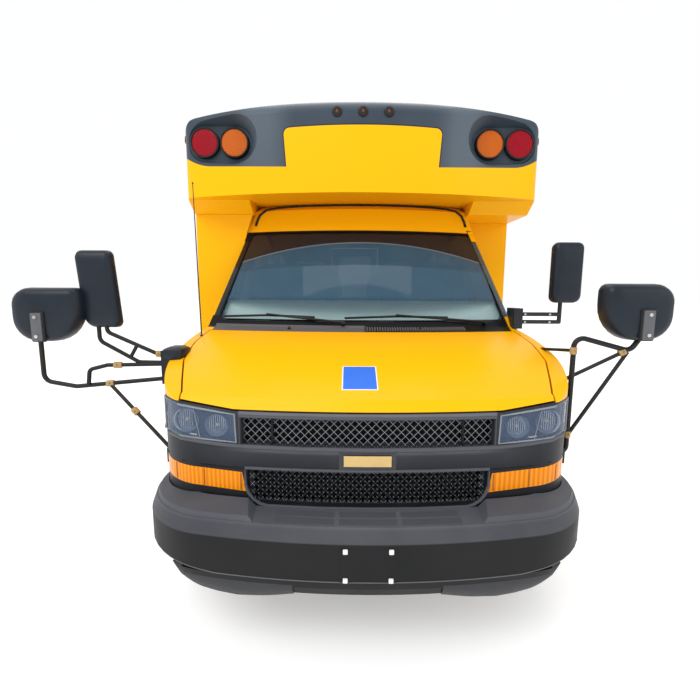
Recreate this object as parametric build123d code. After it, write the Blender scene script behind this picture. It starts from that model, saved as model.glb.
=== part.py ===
"""Small school bus: a cutaway van cab on a ladder frame with a wide passenger body behind it.

Millimetres. X points to the bus's left, Y rearwards, Z up. The origin is on the ground, on the centre
plane, halfway between the bumpers. A station is a distance behind the front bumper's face.
"""

from build123d import *
from math import asin, cos, degrees, radians, sin
import os

# Overall
OVERALL_LENGTH = 6500
WHEELBASE = 3531
FRONT_OVERHANG = 940
BODY_WIDTH = 2438
ROOF_Z = 2760
SKIRT_Z = 430
FLOOR_TOP_Z = 860
FLOOR_PLATE = 40
GAP = 8
SEAT_GAP = 0.3
RUNNING_GAP = 0.05

# Wheels and running gear
TYRE_RADIUS = 372
TYRE_WIDTH = 222
BEAD_RADIUS = 203
RIM_WIDTH = 184
FRONT_TRACK = 1746
REAR_DUAL_SPACING = 264
REAR_OUTER_TRACK = 2120
ARCH_RADIUS = 440
KINGPIN_X = 730
KINGPIN_RADIUS = 17
SPINDLE_RADIUS = 35
REAR_SPINDLE_RADIUS = 48
WHEEL_OFFSET = 132
WHEEL_BORE_LENGTH = 60
RAIL_X = 400
RAIL_FLANGE = 70
RAIL_WEB = 10
RAIL_TOP_Z = 760
RAIL_FOOT_Z = 590
RAIL_FRONT = 330
RAIL_BACK = 6366

# Cab
CAB_WIDTH = 2000
CAB_WALL = 40
CAB_SILL_Z = 500
CAB_BACK = 2098
CAB_ROOF_Z = 2185
CAB_TURN_STATION = 4000
NOSE_STATION = 150
LIP_Z = 1064
LIP_FLAT = 560
LIP_RISE = 58
HOOD_REAR_STATION = 1010
HOOD_REAR_Z = 1310
GLASS_FOOT = (1080, 1330)
GLASS_HEAD = (1600, 1983)
BROW = (1652, 2140)
BELT_Z = 1330
KERB_HEADER_Z = 1900
GLASS = 6
GLASS_SET = 6

# Fascia and bumper
FASCIA_FOOT_Z = 615
FASCIA_BACK = 480
MESH_PITCH = 35
MESH_BAR = 4.5
MESH_DEPTH = 8
BUMPER_HALF = 1000
BUMPER_TOP_Z = 648
BUMPER_SEAM_Z = 427
BUMPER_FOOT_Z = 345
BUMPER_BACK = 480
BUMPER_BOW_RADIUS = 3430
BUMPER_BOW_END = 690
BUMPER_WALL = 14
PLATE_HOLES = (178, 121)
PLATE_HOLE_RADIUS = 3.5
FRONT_PLATE_Z = 500
STEP_PAD_HALF = 450
REAR_PLATE_Z = 1190

# Grilles: half width, (foot, head) heights, radius of the lower corners
UPPER_GRILLE = (528, (916, 1032), 12)
LOWER_GRILLE = (506, (660, 810), 76)

# Front lamps: inner edge's X at foot and head, heights (foot, head) there and past the fender
HEADLAMP = ((546, 551), (918, 1048), (936, 1102))
TURN_LAMP = ((512, 528), (710, 794), (732, 812))

# Passenger body
BODY_WALL = 50
ROOF_DOME = 75
EAVE_RADIUS = 110
EAVE_Z = 2480
RIGHT_FRONT = 1721
BODY_BACK = 6420
CAP_FRONT = 1330
CAP_CORNER = 1540
CAP_CORNER_RADIUS = 90
CAP_CREASE_Z = 2205
CAP_SIDE_FOOT = 2110
CAP_CHEEK_X = 790
CAP_ROLL = (110, 100)
BULKHEAD = 40
WINDOW_Z = (1430, 2130)
WINDOW_WIDTH = 680
WINDOW_RADIUS = 60
LEFT_WINDOWS = (2340, 3120, 3900, 4680, 5460)
RIGHT_WINDOWS = (2640, 3420, 4200)

# Doors
HINGE_IN = 9
HINGE_BEHIND = 14
HINGE_PIN = 6
HINGE_ENGAGE = 30
DOOR_THICK = 40
ENTRY = (1800, 2510)
ENTRY_Z = (350, 2090)
ENTRY_SILL_Z = 320
LIFT = (4990, 6090)
LIFT_Z = (700, 2300)
REAR_DOOR_HALF = 420
REAR_DOOR_Z = (880, 2330)
DRIVER_DOOR = (1040, 2050)
DRIVER_DOOR_Z = (560, 1995)
DRIVER_DOOR_SLOPE_FOOT_Z = 1345
DRIVER_DOOR_SLOPE_HEAD = 1560
DRIVER_HINGES_Z = (900, 1240)
DRIVER_HINGE_HALF = 14

# Warning lamps: distance from the centre plane, height
RED_LAMP = (1062, 2538)
AMBER_LAMP = (861, 2538)
LAMP_RADIUS = 92
LAMP_PLANE = 1530
LAMP_POD_MARGIN = 22

# Stop arm
STOP_STATION = 2250
STOP_Z = 1180
STOP_ACROSS = 457
STOP_THICK = 18
STOP_STAND = 34
REAR_LAMP_Z = 2480
REAR_PLATE_X = 760

# Inside
FIREWALL = 1090
STEP_X = -720
STEP_Z = 362
STEERING_CENTRE = (480, -OVERALL_LENGTH / 2 + 1575, 1480)
STEERING_RADIUS = 190
SHAFT_RADIUS = 12
COLUMN_LEAN = 32
DRIVER_X = 480
DRIVER_STATION = 2030
BENCH_WIDTH = 960
BENCH_Z = 1210
BENCHES = ((1, 2500), (1, 3200), (1, 3900), (1, 4600), (1, 5300), (-1, 2750), (-1, 3450), (-1, 4150))

# Wipers: pivot, blade's inner and outer end, from the centre plane
WIPERS = ((-120, -296, -900), (784, 540, -110))

# Mirrors: tubes as radius, bend radius and a route of (X, station, Z)
MIRROR_TUBES = (
    (11, 45, ((-1590, 550, 1330), (-1590, 550, 1105), (-1440, 560, 1075), (-960, 660, 1105))),
    (10, 25, ((-1380, 562, 1085), (-1370, 562, 1160), (-1290, 580, 1180), (-960, 660, 1175))),
    (10, 40, ((-1330, 600, 1400), (-1330, 600, 1300), (-1150, 620, 1190), (-960, 660, 1180))),
    (10, 30, ((-1290, 600, 1400), (-1290, 600, 1345), (-1060, 620, 1235), (-960, 660, 1215))),
    (9, 10, ((-1290, 590, 1083), (-930, 480, 760))),
    (12, 40, ((960, 490, 760), (985, 480, 800), (985, 480, 1350), (1235, 455, 1282), (1275, 452, 1345))),
    (9, 10, ((930, 520, 1110), (1210, 456, 1280))),
    (9, 10, ((985, 480, 860), (1225, 456, 1277))),
    (8, 10, ((970, 880, 1235), (985, 480, 1280))),
)
MIRROR_BASES = (
    ((-1030, -930), (600, 740), (1080, 1250)),
    ((-960, -900), (455, 505), (725, 795)),
    ((900, 975), (465, 520), (725, 800)),
)
MIRROR_HEADS = (
    ((-1540, 550, 1432), (332, 262), 90, (120, 60)),
    ((1245, 450, 1463), (324, 262), 90, (120, 60)),
    ((-1318, 600, 1556), (182, 378), 60, (40, 36)),
)
DOOR_MIRROR = ((1312, 1250, 1676), (180, 378), 60, (40, 36))
DOOR_MIRROR_BARS = (1360, 1410)

# Derived places
CAP_FOOT = CAB_ROOF_Z + SEAT_GAP
CAP_BACK = CAB_BACK + BULKHEAD
NOSE = -OVERALL_LENGTH / 2
TAIL = OVERALL_LENGTH / 2
FRONT_AXLE_Y = NOSE + FRONT_OVERHANG
REAR_AXLE_Y = FRONT_AXLE_Y + WHEELBASE
BODY_HALF = BODY_WIDTH / 2
CAB_HALF = CAB_WIDTH / 2
FLOOR_FOOT_Z = FLOOR_TOP_Z - FLOOR_PLATE
HINGE_X = HINGE_IN - BODY_HALF
SIDE_HINGES = {
    "entry_door_front": ((HINGE_X, NOSE + ENTRY[0] + GAP + HINGE_BEHIND), ENTRY_Z),
    "entry_door_rear": ((HINGE_X, NOSE + ENTRY[1] - GAP - HINGE_BEHIND), ENTRY_Z),
    "lift_door": ((HINGE_X, NOSE + LIFT[0] + GAP + HINGE_BEHIND), LIFT_Z),
}
REAR_HINGE = (GAP + HINGE_BEHIND - REAR_DOOR_HALF, NOSE + BODY_BACK - HINGE_IN)
DRIVER_HINGE = (CAB_HALF - HINGE_IN, NOSE + DRIVER_DOOR[0] + 12)
STOP_HINGE = (BODY_HALF + GAP + STOP_THICK / 2, NOSE + STOP_STATION)
TURN_AXIS = Axis((0, NOSE + CAB_TURN_STATION, 0), (0, 0, 1))
PARTS = "parts"


def at(station):
    """Y of a station."""
    return NOSE + station


def box(x, y, z):
    """A box from its (low, high) pair on each axis."""
    middle = [(low + high) / 2 for low, high in (x, y, z)]
    return Pos(*middle) * Box(x[1] - x[0], y[1] - y[0], z[1] - z[0])


def outline(*points):
    """A flat face from its corners."""
    return make_face(Polyline(*points, close=True))


def along_x(face, x0, x1):
    """A prism between two X planes, of a face drawn in (Y, Z)."""
    plane = Plane((x0, 0, 0), x_dir=(0, 1, 0), z_dir=(1, 0, 0))
    return extrude(plane * face, x1 - x0)


def along_y(face, y0, y1):
    """A prism between two Y planes, of a face drawn in (X, Z)."""
    plane = Plane((0, y1, 0), x_dir=(1, 0, 0), z_dir=(0, -1, 0))
    return extrude(plane * face, y1 - y0)


def along_z(face, z0, z1):
    """A prism between two Z planes, of a face drawn in (X, Y)."""
    return extrude(Plane((0, 0, z0)) * face, z1 - z0)


def grown(face, amount):
    """The face with its outline moved out, or in where amount is negative, looking the same way."""
    if not amount:
        return face
    moved = offset(face, amount=amount, kind=Kind.INTERSECTION).face()
    return moved if moved.normal_at().dot(face.face().normal_at()) > 0 else -moved


def panel(centre, size, radius):
    """A rounded rectangle about a centre, flat in its own plane."""
    return Pos(*centre) * RectangleRounded(size[0], size[1], radius)


def both_sides(shape):
    """The shape and its mirror image across the centre plane."""
    return [shape, mirror(shape, about=Plane.YZ)]


def save(node, *shapes):
    """Writes a node's solids to its file."""
    solids = [solid for shape in shapes for solid in shape.solids()]
    export_step(Compound(solids), f"{PARTS}/{node}.step")


def tube(points, radius, bend):
    """A round bar along straight runs with rounded corners."""
    path = FilletPolyline(*points, radius=bend) if len(points) > 2 else Line(*points)
    start = Plane(origin=path @ 0, z_dir=path % 0)
    return sweep(start * Circle(radius), path=path)


# Cab forms: a side profile turned about a far upright axis, trimmed by the plan and by the cross-section


def moved_in(corners, inset):
    """The corners of a closed outline, listed clockwise, each moved in by the same wall thickness."""
    moved = []
    for before, here, after in zip(corners[-1:] + corners[:-1], corners, corners[1:] + corners[:1]):
        run_in = (Vector(*here) - Vector(*before)).normalized()
        run_out = (Vector(*after) - Vector(*here)).normalized()
        normals = [Vector(run.Y, -run.X) for run in (run_in, run_out)]
        mitre = (normals[0] + normals[1]) * (inset / (1 + normals[0].dot(normals[1])))
        moved.append((here[0] + mitre.X, here[1] + mitre.Y))
    return moved


def cab_side(inset):
    """Nose, hood, windshield and cab roof in (Y, Z)."""
    back = at(CAB_TURN_STATION - 900)
    lip = (NOSE_STATION + 46, LIP_Z + 44)
    crown = ((lip[0] + HOOD_REAR_STATION) / 2, (lip[1] + HOOD_REAR_Z) / 2 + 32)
    front = (
        (NOSE_STATION, CAB_SILL_Z),
        (NOSE_STATION + 10, LIP_Z - 8),
        lip,
        crown,
        (HOOD_REAR_STATION, HOOD_REAR_Z),
        GLASS_FOOT,
        GLASS_HEAD,
        BROW,
        (BROW[0] + 70, CAB_ROOF_Z),
    )
    corners = [(at(station), z) for station, z in front]
    corners = moved_in(corners + [(back, CAB_ROOF_Z), (back, CAB_SILL_Z)], inset)
    hood = ThreePointArc(*corners[2:5])
    rest = Polyline(*corners[4:], *corners[:3])
    return make_face(hood + rest)


def cab_plan(inset):
    """The cab's outline from above, with its rounded front corners, in (X, Y)."""
    side = Line((CAB_HALF, at(CAB_BACK)), (CAB_HALF, at(760)))
    fender = JernArc(side @ 1, side % 1, 934, -24)
    corner = JernArc(fender @ 1, fender % 1, 260, -51)
    front = Line(corner @ 1, (0, at(NOSE_STATION - 60)))
    half = side + fender + corner + front
    back = Line((CAB_HALF, at(CAB_BACK)), (-CAB_HALF, at(CAB_BACK)))
    return grown(make_face(half + mirror(half, about=Plane.YZ) + back), -inset)


def cab_section(inset):
    """The cab's cross-section, upright to the belt and leaning in above it, in (X, Z)."""
    half = (
        (CAB_HALF, CAB_SILL_Z),
        (CAB_HALF, BELT_Z),
        (CAB_HALF - 155, GLASS_HEAD[1]),
        (CAB_HALF - 225, CAB_ROOF_Z),
    )
    face = outline(*half, *[(-x, z) for x, z in reversed(half)])
    corners = face.vertices().sort_by(Axis.Y)
    face = fillet(corners[-2:], 100)
    return grown(face, -inset)


def cab_form(inset):
    """The solid inside the cab's skin, moved in by inset."""
    profile = Plane.YZ * cab_side(inset)
    turned = revolve(profile.rotate(TURN_AXIS, -40), TURN_AXIS, 80)
    plan = along_z(cab_plan(inset), CAB_SILL_Z - 100, CAB_ROOF_Z + 100)
    section = along_y(cab_section(inset), at(0), at(CAB_BACK + 100))
    return turned & plan & section


def cab_skin():
    """The cab's wall, open below and behind."""
    inner = cab_form(CAB_WALL)
    skin = cab_form(0) - inner
    for back, down in ((0, 2), (2, 0), (2, 2)):
        skin -= Pos(0, back * CAB_WALL, -down * CAB_WALL) * inner
    return skin


def hood_plan(clearance):
    """The hood's outline from above: its shut lines run along the shoulders."""
    half = (
        (806, at(300)),
        (842, at(400)),
        (910, at(600)),
        (942, at(850)),
        (948, at(HOOD_REAR_STATION + 130)),
    )
    left = Polyline((0, at(0)), (half[0][0], at(0)), *half)
    rear = ThreePointArc(half[-1], (0, at(HOOD_REAR_STATION)), (-half[-1][0], half[-1][1]))
    return grown(make_face(left + rear + mirror(left, about=Plane.YZ)), clearance)


def above_lip(clearance):
    """What lies over the hood's front edge, which rises towards the sides."""
    far, top = CAB_HALF + 100, BELT_Z + 60
    half = ((LIP_FLAT, LIP_Z), (far, LIP_Z + LIP_RISE), (far, top))
    face = outline(*half, *[(-x, z) for x, z in reversed(half)])
    return along_y(grown(face, clearance), NOSE, at(CAB_BACK))


def hood_region(clearance):
    return along_z(hood_plan(clearance), LIP_Z - GAP, BELT_Z + 60) & above_lip(clearance)


def lamp_outline(lamp, clearance):
    """A front lamp's outline seen from ahead, past the fender's side, in (X, Z)."""
    (foot_x, head_x), inner_z, outer_z = lamp
    far = CAB_HALF + 60
    face = outline((foot_x, inner_z[0]), (far, outer_z[0]), (far, outer_z[1]), (head_x, inner_z[1]))
    return grown(face, clearance)


def lamp_region(lamp, clearance):
    return along_y(lamp_outline(lamp, clearance), at(0), at(FASCIA_BACK - 40 + clearance))


def grille_outline(half, heights, foot_radius):
    """A grille opening seen from ahead, its lower corners rounded, in (X, Z)."""
    low, high = heights
    face = outline((-half, low), (half, low), (half, high), (-half, high))
    face = fillet(face.vertices().group_by(Axis.Y)[0], foot_radius)
    return fillet(face.vertices().group_by(Axis.Y)[-1], 10)


def driver_door_outline(clearance):
    """The driver's door from the side, in (Y, Z)."""
    face = outline(
        (at(DRIVER_DOOR[0]), DRIVER_DOOR_Z[0]),
        (at(DRIVER_DOOR[0]), DRIVER_DOOR_SLOPE_FOOT_Z),
        (at(DRIVER_DOOR_SLOPE_HEAD), DRIVER_DOOR_Z[1]),
        (at(DRIVER_DOOR[1]), DRIVER_DOOR_Z[1]),
        (at(DRIVER_DOOR[1]), DRIVER_DOOR_Z[0]),
    )
    return grown(fillet(face.vertices(), 30), clearance)


def driver_window_outline(clearance):
    """The side window of the cab, in (Y, Z)."""
    face = outline(
        (at(DRIVER_DOOR[0] + 170), BELT_Z + 60),
        (at(DRIVER_DOOR_SLOPE_HEAD + 45), DRIVER_DOOR_Z[1] - 75),
        (at(DRIVER_DOOR[1] - 75), DRIVER_DOOR_Z[1] - 75),
        (at(DRIVER_DOOR[1] - 75), BELT_Z + 60),
    )
    return grown(fillet(face.vertices(), 35), clearance)


def windshield_outline(clearance):
    """The windshield seen from ahead, in (X, Z)."""
    foot, head = GLASS_FOOT[1] + 34, GLASS_HEAD[1] - 14
    face = outline((-938, foot), (938, foot), (806, head), (-806, head))
    return grown(fillet(face.vertices(), 40), clearance)


def front_arch(clearance):
    """What the front wheels' arches cut away."""
    axle = Plane((0, FRONT_AXLE_Y, TYRE_RADIUS), x_dir=(0, 1, 0), z_dir=(1, 0, 0))
    return extrude(axle * Circle(ARCH_RADIUS + clearance), CAB_WIDTH, both=True)


def glass_skin():
    """A thin curved layer just inside the cab's outer face."""
    return cab_form(GLASS_SET) - cab_form(GLASS_SET + GLASS)


def driver_hinge_ears():
    """The door hinges' ears on the front pillar, with their pins."""
    x, y = DRIVER_HINGE
    half = DRIVER_HINGE_HALF
    ears = []
    for z in DRIVER_HINGES_Z:
        ears.append(box((CAB_HALF - 34, CAB_HALF - 1), (at(DRIVER_DOOR[0] - 30), y), (z - half, z + half)))
        ears.append(Pos(x, y, z) * Cylinder(HINGE_IN - 0.5, 2 * half))
        ears.append(Pos(x, y, z) * Cylinder(HINGE_PIN, 2 * (half + GAP + HINGE_ENGAGE)))
    return ears


def driver_hinge_cuts():
    """The notches and bores in the door for its hinges."""
    x, y = DRIVER_HINGE
    half = DRIVER_HINGE_HALF + GAP
    cuts = []
    notch_y = (at(DRIVER_DOOR[0] - 5), y + 24)
    for z in DRIVER_HINGES_Z:
        cuts.append(box((CAB_HALF - 60, CAB_HALF + 10), notch_y, (z - half, z + half)))
        cuts.append(Pos(x, y, z) * Cylinder(HINGE_PIN + RUNNING_GAP, 2 * (half + HINGE_ENGAGE + 2)))
    return cuts


def make_cab():
    skin = cab_skin()
    layer = glass_skin()
    arch = front_arch(0)
    wide = (-CAB_WIDTH, CAB_WIDTH)
    over = above_lip(GAP)
    fascia_zone = box(wide, (at(0), at(FASCIA_BACK)), (FASCIA_FOOT_Z, BELT_Z)) - over
    fascia_cut = box(wide, (at(0), at(FASCIA_BACK + SEAT_GAP)), (0, BELT_Z)) - over
    between = along_y(cab_section(CAB_WALL), at(0), at(CAB_BACK))
    left_door = along_x(driver_door_outline(0), 0, CAB_WIDTH) - between
    swept = along_y(cab_section(CAB_WALL + GAP), at(0), at(CAB_BACK))
    left_cut = along_x(driver_door_outline(GAP + 2), 0, CAB_WIDTH) - swept
    left_cut += Pos(0, GAP, 0) * left_cut
    window = along_x(driver_window_outline(0), *wide) - between
    pane = along_x(driver_window_outline(-SEAT_GAP), *wide) - between
    screen_zone = (at(HOOD_REAR_STATION), at(CAB_BACK - 300))
    screen = along_y(windshield_outline(0), *screen_zone)
    screen_glass = along_y(windshield_outline(-SEAT_GAP), *screen_zone)
    side_return = box((-CAB_WIDTH, -CAB_HALF * 0.7), (at(RIGHT_FRONT), TAIL), (0, KERB_HEADER_Z))

    save("hood", skin & hood_region(0))
    save("driver_door", (skin & left_door) - window - front_arch(GAP) - driver_hinge_cuts())
    save("driver_door_glass", layer & pane & box((0, CAB_WIDTH), (NOSE, TAIL), (0, ROOF_Z)))

    shell = skin - hood_region(GAP) - fascia_cut - left_cut - window - screen - arch - side_return
    save("cab_shell", shell + driver_hinge_ears())
    kerb_pane = layer & pane & box((-CAB_WIDTH, 0), (NOSE, at(RIGHT_FRONT)), (0, ROOF_Z))
    turn_lamps = save_fascia(skin, fascia_zone)
    return [layer & screen_glass, kerb_pane], turn_lamps


def save_fascia(skin, zone):
    """The dark moulding between hood and bumper, its lamps and its two mesh grilles."""
    openings = [grille_outline(*grille) for grille in (UPPER_GRILLE, LOWER_GRILLE)]
    frame = skin & zone
    for opening in openings:
        frame -= along_y(opening, at(0), at(FASCIA_BACK))
    for lamp in (HEADLAMP, TURN_LAMP):
        for cut in both_sides(lamp_region(lamp, 0)):
            frame -= cut
    mesh_layer = cab_form(CAB_WALL - 2 * MESH_DEPTH) - cab_form(CAB_WALL - MESH_DEPTH)
    for opening in openings:
        frame += along_y(mesh_face(opening), at(0), at(FASCIA_BACK)) & mesh_layer
    save("grille_frame", frame)

    head, turn = [skin & lamp_region(lamp, -SEAT_GAP) for lamp in (HEADLAMP, TURN_LAMP)]
    save("headlamps", *both_sides(head))
    return both_sides(turn)


def mesh_face(opening):
    """A sheet with a diamond pattern of holes, a little larger than its opening."""
    centre = opening.center()
    size = opening.bounding_box().size
    side = MESH_PITCH / 2**0.5 - MESH_BAR
    columns, rows = int(size.X / MESH_PITCH), round(size.Y / MESH_PITCH)
    hole = Rot(0, 0, 45) * Rectangle(side, side)
    holes = []
    for counts in ((columns, rows), (columns - 1, rows - 1)):
        grid = GridLocations(MESH_PITCH, MESH_PITCH, *counts)
        holes += [Pos(centre.X, centre.Y) * place * hole for place in grid]
    return opening - holes


# Bumpers


def bumper_path():
    """Half of the front bumper's line from above, centre to the side's end."""
    bow = asin(BUMPER_BOW_END / BUMPER_BOW_RADIUS)
    centre = JernArc((0, at(0)), (1, 0), BUMPER_BOW_RADIUS, degrees(bow))
    corner_radius = (BUMPER_HALF - BUMPER_BOW_END) / (1 - sin(bow))
    corner = JernArc(centre @ 1, centre % 1, corner_radius, 90 - degrees(bow))
    side = Line(corner @ 1, (BUMPER_HALF, at(BUMPER_BACK)))
    return centre + corner + side


def bumper_moulding(outer, inner):
    """A moulding swept round the front from its outer and inner section lines."""
    corners = [(0, at(depth), z) for depth, z in (*outer, *reversed(inner))]
    half = sweep(outline(*corners), path=bumper_path())
    return half + mirror(half, about=Plane.YZ)


def bumper_shoulders():
    """The bumper's raised ends beside the step pad."""
    top = BUMPER_TOP_Z
    whole = bumper_moulding(((136, top + 40), (36, top + 18)), ((136, top - 4), (6, top - 44)))
    pad = STEP_PAD_HALF
    half = ((pad, 0), (pad, top - 10), (pad + 60, top + 50))
    gap = outline(*half, *[(-x, z) for x, z in reversed(half)])
    return whole - along_y(gap, at(-10), at(BUMPER_BACK))


def save_front_bumper():
    """The bumper with its raised ends and its rails' brackets, and the lip under it."""
    wall, top, seam = BUMPER_WALL, BUMPER_TOP_Z, BUMPER_SEAM_Z
    face = bumper_moulding(
        ((140, top + 6), (22, top - 2), (0, top - 62), (0, seam)),
        ((140, top + 6 - wall), (32, top - 2 - wall), (wall, top - 66), (wall, seam)),
    )
    face += bumper_shoulders()
    above = box((-CAB_WIDTH, CAB_WIDTH), (at(0), at(BUMPER_BACK + 10)), (FASCIA_FOOT_Z - GAP / 2, CAB_ROOF_Z))
    face -= cab_form(-GAP / 2) & above
    rise = outline((620, 0), (1200, 0), (1200, seam + 70), (620, seam))
    for side in both_sides(along_y(rise, at(-10), at(BUMPER_BACK + 10))):
        face -= side
    half_wide, half_high = PLATE_HOLES[0] / 2 + 22, PLATE_HOLES[1] / 2 + 10
    plate_z = (FRONT_PLATE_Z - half_high, FRONT_PLATE_Z + half_high)
    face += box((-half_wide, half_wide), (at(0), at(wall)), plate_z)
    low, high = RAIL_FOOT_Z - 90, RAIL_FOOT_Z - 4
    bracket = box((RAIL_X, RAIL_X + RAIL_FLANGE), (at(34), at(RAIL_FRONT)), (low, high))
    for side in both_sides(bracket):
        face += side

    lip_top = seam - SEAT_GAP
    lip = bumper_moulding(
        ((4, lip_top), (14, lip_top - 38), (40, BUMPER_FOOT_Z)),
        ((4 + wall, lip_top), (14 + wall, lip_top - 38), (40 + wall, BUMPER_FOOT_Z)),
    )
    lip &= along_y(outline((-800, 500), (800, 500), (710, 300), (-710, 300)), at(-10), at(BUMPER_BACK))
    save("front_bumper", face - plate_holes(0, at(0), FRONT_PLATE_Z), lip)


def plate_holes(x, y, z):
    """Four number-plate screw holes through a face at y, in their American spacing."""
    hole = Cylinder(PLATE_HOLE_RADIUS, 4 * BODY_WALL, rotation=(90, 0, 0))
    half_wide, half_high = PLATE_HOLES[0] / 2, PLATE_HOLES[1] / 2
    corners = [(dx, dz) for dx in (-half_wide, half_wide) for dz in (-half_high, half_high)]
    return [Pos(x + dx, y, z + dz) * hole for dx, dz in corners]


# Wheels and running gear


def tyre_face():
    """A tyre's section: outer wall and tread, and the hollow inside."""
    half = TYRE_WIDTH / 2
    bead = BEAD_RADIUS + SEAT_GAP
    seat = RIM_WIDTH / 2 - 14 - SEAT_GAP
    crown = TYRE_RADIUS
    wall = ((seat, bead), (seat, bead + 24), (half, bead + 82))
    wall += ((half - 10, crown - 30), (half - 26, crown - 6))
    lining = ((seat - 14, bead), (seat - 12, bead + 22), (half - 22, bead + 86), (half - 30, crown - 34))
    left = Polyline(*[(-a, r) for a, r in lining], *lining[::-1])
    right = Polyline(lining[0], *wall)
    tread = ThreePointArc(wall[-1], (0, crown), (-wall[-1][0], wall[-1][1]))
    other = Polyline(*[(-a, r) for a, r in wall[::-1]], (-lining[0][0], bead))
    return make_face(left + right + tread + other)


def rim_face(bore):
    """A dual-pattern steel wheel's section, its dish drawn towards negative."""
    half = RIM_WIDTH / 2
    bead = BEAD_RADIUS
    barrel = ((half, bead + 19), (half - 8, bead + 19), (half - 14, bead), (30, bead), (18, bead - 15))
    thick = 9
    outer = [(-a, r) for a, r in barrel] + list(barrel[::-1])
    inner = [(a, r - thick) for a, r in outer]
    hub_face = -WHEEL_OFFSET
    dish = ((-40, bead - 4), (hub_face + 60, bead - 60), (hub_face + 14, bead - 66), (hub_face + 14, bore))
    dish += ((hub_face, bore), (hub_face, bead - 54), (hub_face + 46, bead - 48), (-56, bead - 4))
    return outline(*outer, *inner[::-1]), outline(*dish)


def steel_wheel(bore):
    """One wheel about the X axis with eight hand holes and its hub plate."""
    barrel, dish = rim_face(bore)
    wheel = revolve(barrel, Axis.X, 360) + revolve(dish, Axis.X, 360)
    for turn in range(8):
        hole = Pos(60 - WHEEL_OFFSET, 0, BEAD_RADIUS - 44) * Cylinder(17, 120, rotation=(0, 90, 0))
        wheel -= Rot(turn * 45, 0, 0) * hole
    return wheel


def hub(bore, x0, x1, radius):
    """A plain bored hub along X."""
    whole = Pos((x0 + x1) / 2, 0, 0) * Cylinder(radius, x1 - x0, rotation=(0, 90, 0))
    return whole - Cylinder(bore, 4000, rotation=(0, 90, 0))


def save_wheels():
    tyre = revolve(tyre_face(), Axis.X, 360)
    front_bore = SPINDLE_RADIUS + RUNNING_GAP
    rear_bore = REAR_SPINDLE_RADIUS + RUNNING_GAP
    front = Rot(0, 0, 180) * steel_wheel(front_bore)
    front += hub(front_bore, WHEEL_OFFSET - 20, WHEEL_OFFSET + WHEEL_BORE_LENGTH - 20, SPINDLE_RADIUS + 40)
    front_place = Pos(FRONT_TRACK / 2, FRONT_AXLE_Y, TYRE_RADIUS)
    outer = steel_wheel(rear_bore)
    inner = Pos(-2 * WHEEL_OFFSET, 0, 0) * Rot(0, 0, 180) * outer
    pair = outer + inner + hub(rear_bore, -WHEEL_OFFSET - 70, -WHEEL_OFFSET + 90, REAR_SPINDLE_RADIUS + 45)
    rear_place = Pos(REAR_OUTER_TRACK / 2, REAR_AXLE_Y, TYRE_RADIUS)
    twins = [tyre, Pos(-REAR_DUAL_SPACING, 0, 0) * tyre]
    table = (
        ("front_tyre", [front_place * tyre]),
        ("front_rim", [front_place * front]),
        ("rear_tyres", [rear_place * each for each in twins]),
        ("rear_rims", [rear_place * pair]),
    )
    for name, shapes in table:
        save(f"{name}_left", *shapes)
        save(f"{name}_right", *[mirror(shape, about=Plane.YZ) for shape in shapes])


def save_front_axle():
    """The beam with its king pins, and a steering knuckle on each."""
    z = TYRE_RADIUS
    y = FRONT_AXLE_Y
    beam = box((-KINGPIN_X, KINGPIN_X), (y - 40, y + 40), (z - 40, z + 40))
    for x in (-KINGPIN_X, KINGPIN_X):
        beam += Pos(x, y, z) * Cylinder(40, 80)
        beam += Pos(x, y, z) * Cylinder(KINGPIN_RADIUS, 200)
    for x in (-RAIL_X - RAIL_FLANGE, RAIL_X):
        beam += box((x, x + RAIL_FLANGE), (y - 60, y + 60), (z, RAIL_FOOT_Z - SEAT_GAP))
    save("front_axle", beam)

    knuckle = Part()
    for ear_z in (z - 66, z + 66):
        knuckle += Pos(KINGPIN_X, y, ear_z) * Cylinder(44, 36)
        knuckle += box((KINGPIN_X, KINGPIN_X + 76), (y - 36, y + 36), (ear_z - 18, ear_z + 18))
    knuckle += box((KINGPIN_X + 48, KINGPIN_X + 76), (y - 60, y + 60), (z - 84, z + 84))
    tip = FRONT_TRACK / 2 + WHEEL_OFFSET + WHEEL_BORE_LENGTH - 24
    stub = tip - KINGPIN_X - 60
    knuckle += Pos(tip - stub / 2, y, z) * Cylinder(SPINDLE_RADIUS, stub, rotation=(0, 90, 0))
    knuckle += Pos(KINGPIN_X + 84, y, z) * Cylinder(150, 16, rotation=(0, 90, 0))
    knuckle -= Pos(KINGPIN_X, y, z) * Cylinder(KINGPIN_RADIUS + RUNNING_GAP, 400)
    save("knuckle_left", knuckle)
    save("knuckle_right", mirror(knuckle, about=Plane.YZ))


def save_rear_axle():
    """Axle tube, differential, leaf springs on hangers, and the driveshaft."""
    y, z = REAR_AXLE_Y, TYRE_RADIUS
    tip = REAR_OUTER_TRACK / 2 - WHEEL_OFFSET + 84
    axle = Pos(0, y, z) * Cylinder(REAR_SPINDLE_RADIUS, 2 * tip, rotation=(0, 90, 0))
    axle += Pos(0, y, z) * Cylinder(62, 2 * (RAIL_X + 240), rotation=(0, 90, 0))
    axle += Pos(0, y, z) * Sphere(165)
    spring_x = (RAIL_X + 40, RAIL_X + 120)
    spring_z = z + 62
    for side in (1, -1):
        x = sorted(side * edge for edge in spring_x)
        axle += box(x, (y - 70, y + 70), (z, spring_z + 20))
        axle += box(x, (y - 650, y + 650), (spring_z + 10, spring_z + 40))
        for end in (-650, 600):
            axle += box(x, (y + end, y + end + 50), (spring_z + 10, RAIL_FOOT_Z - SEAT_GAP))
    shaft = tube(((0, at(1500), 520), (0, y - 100, z)), 42, 1)
    save("rear_axle", axle + shaft)


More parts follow.
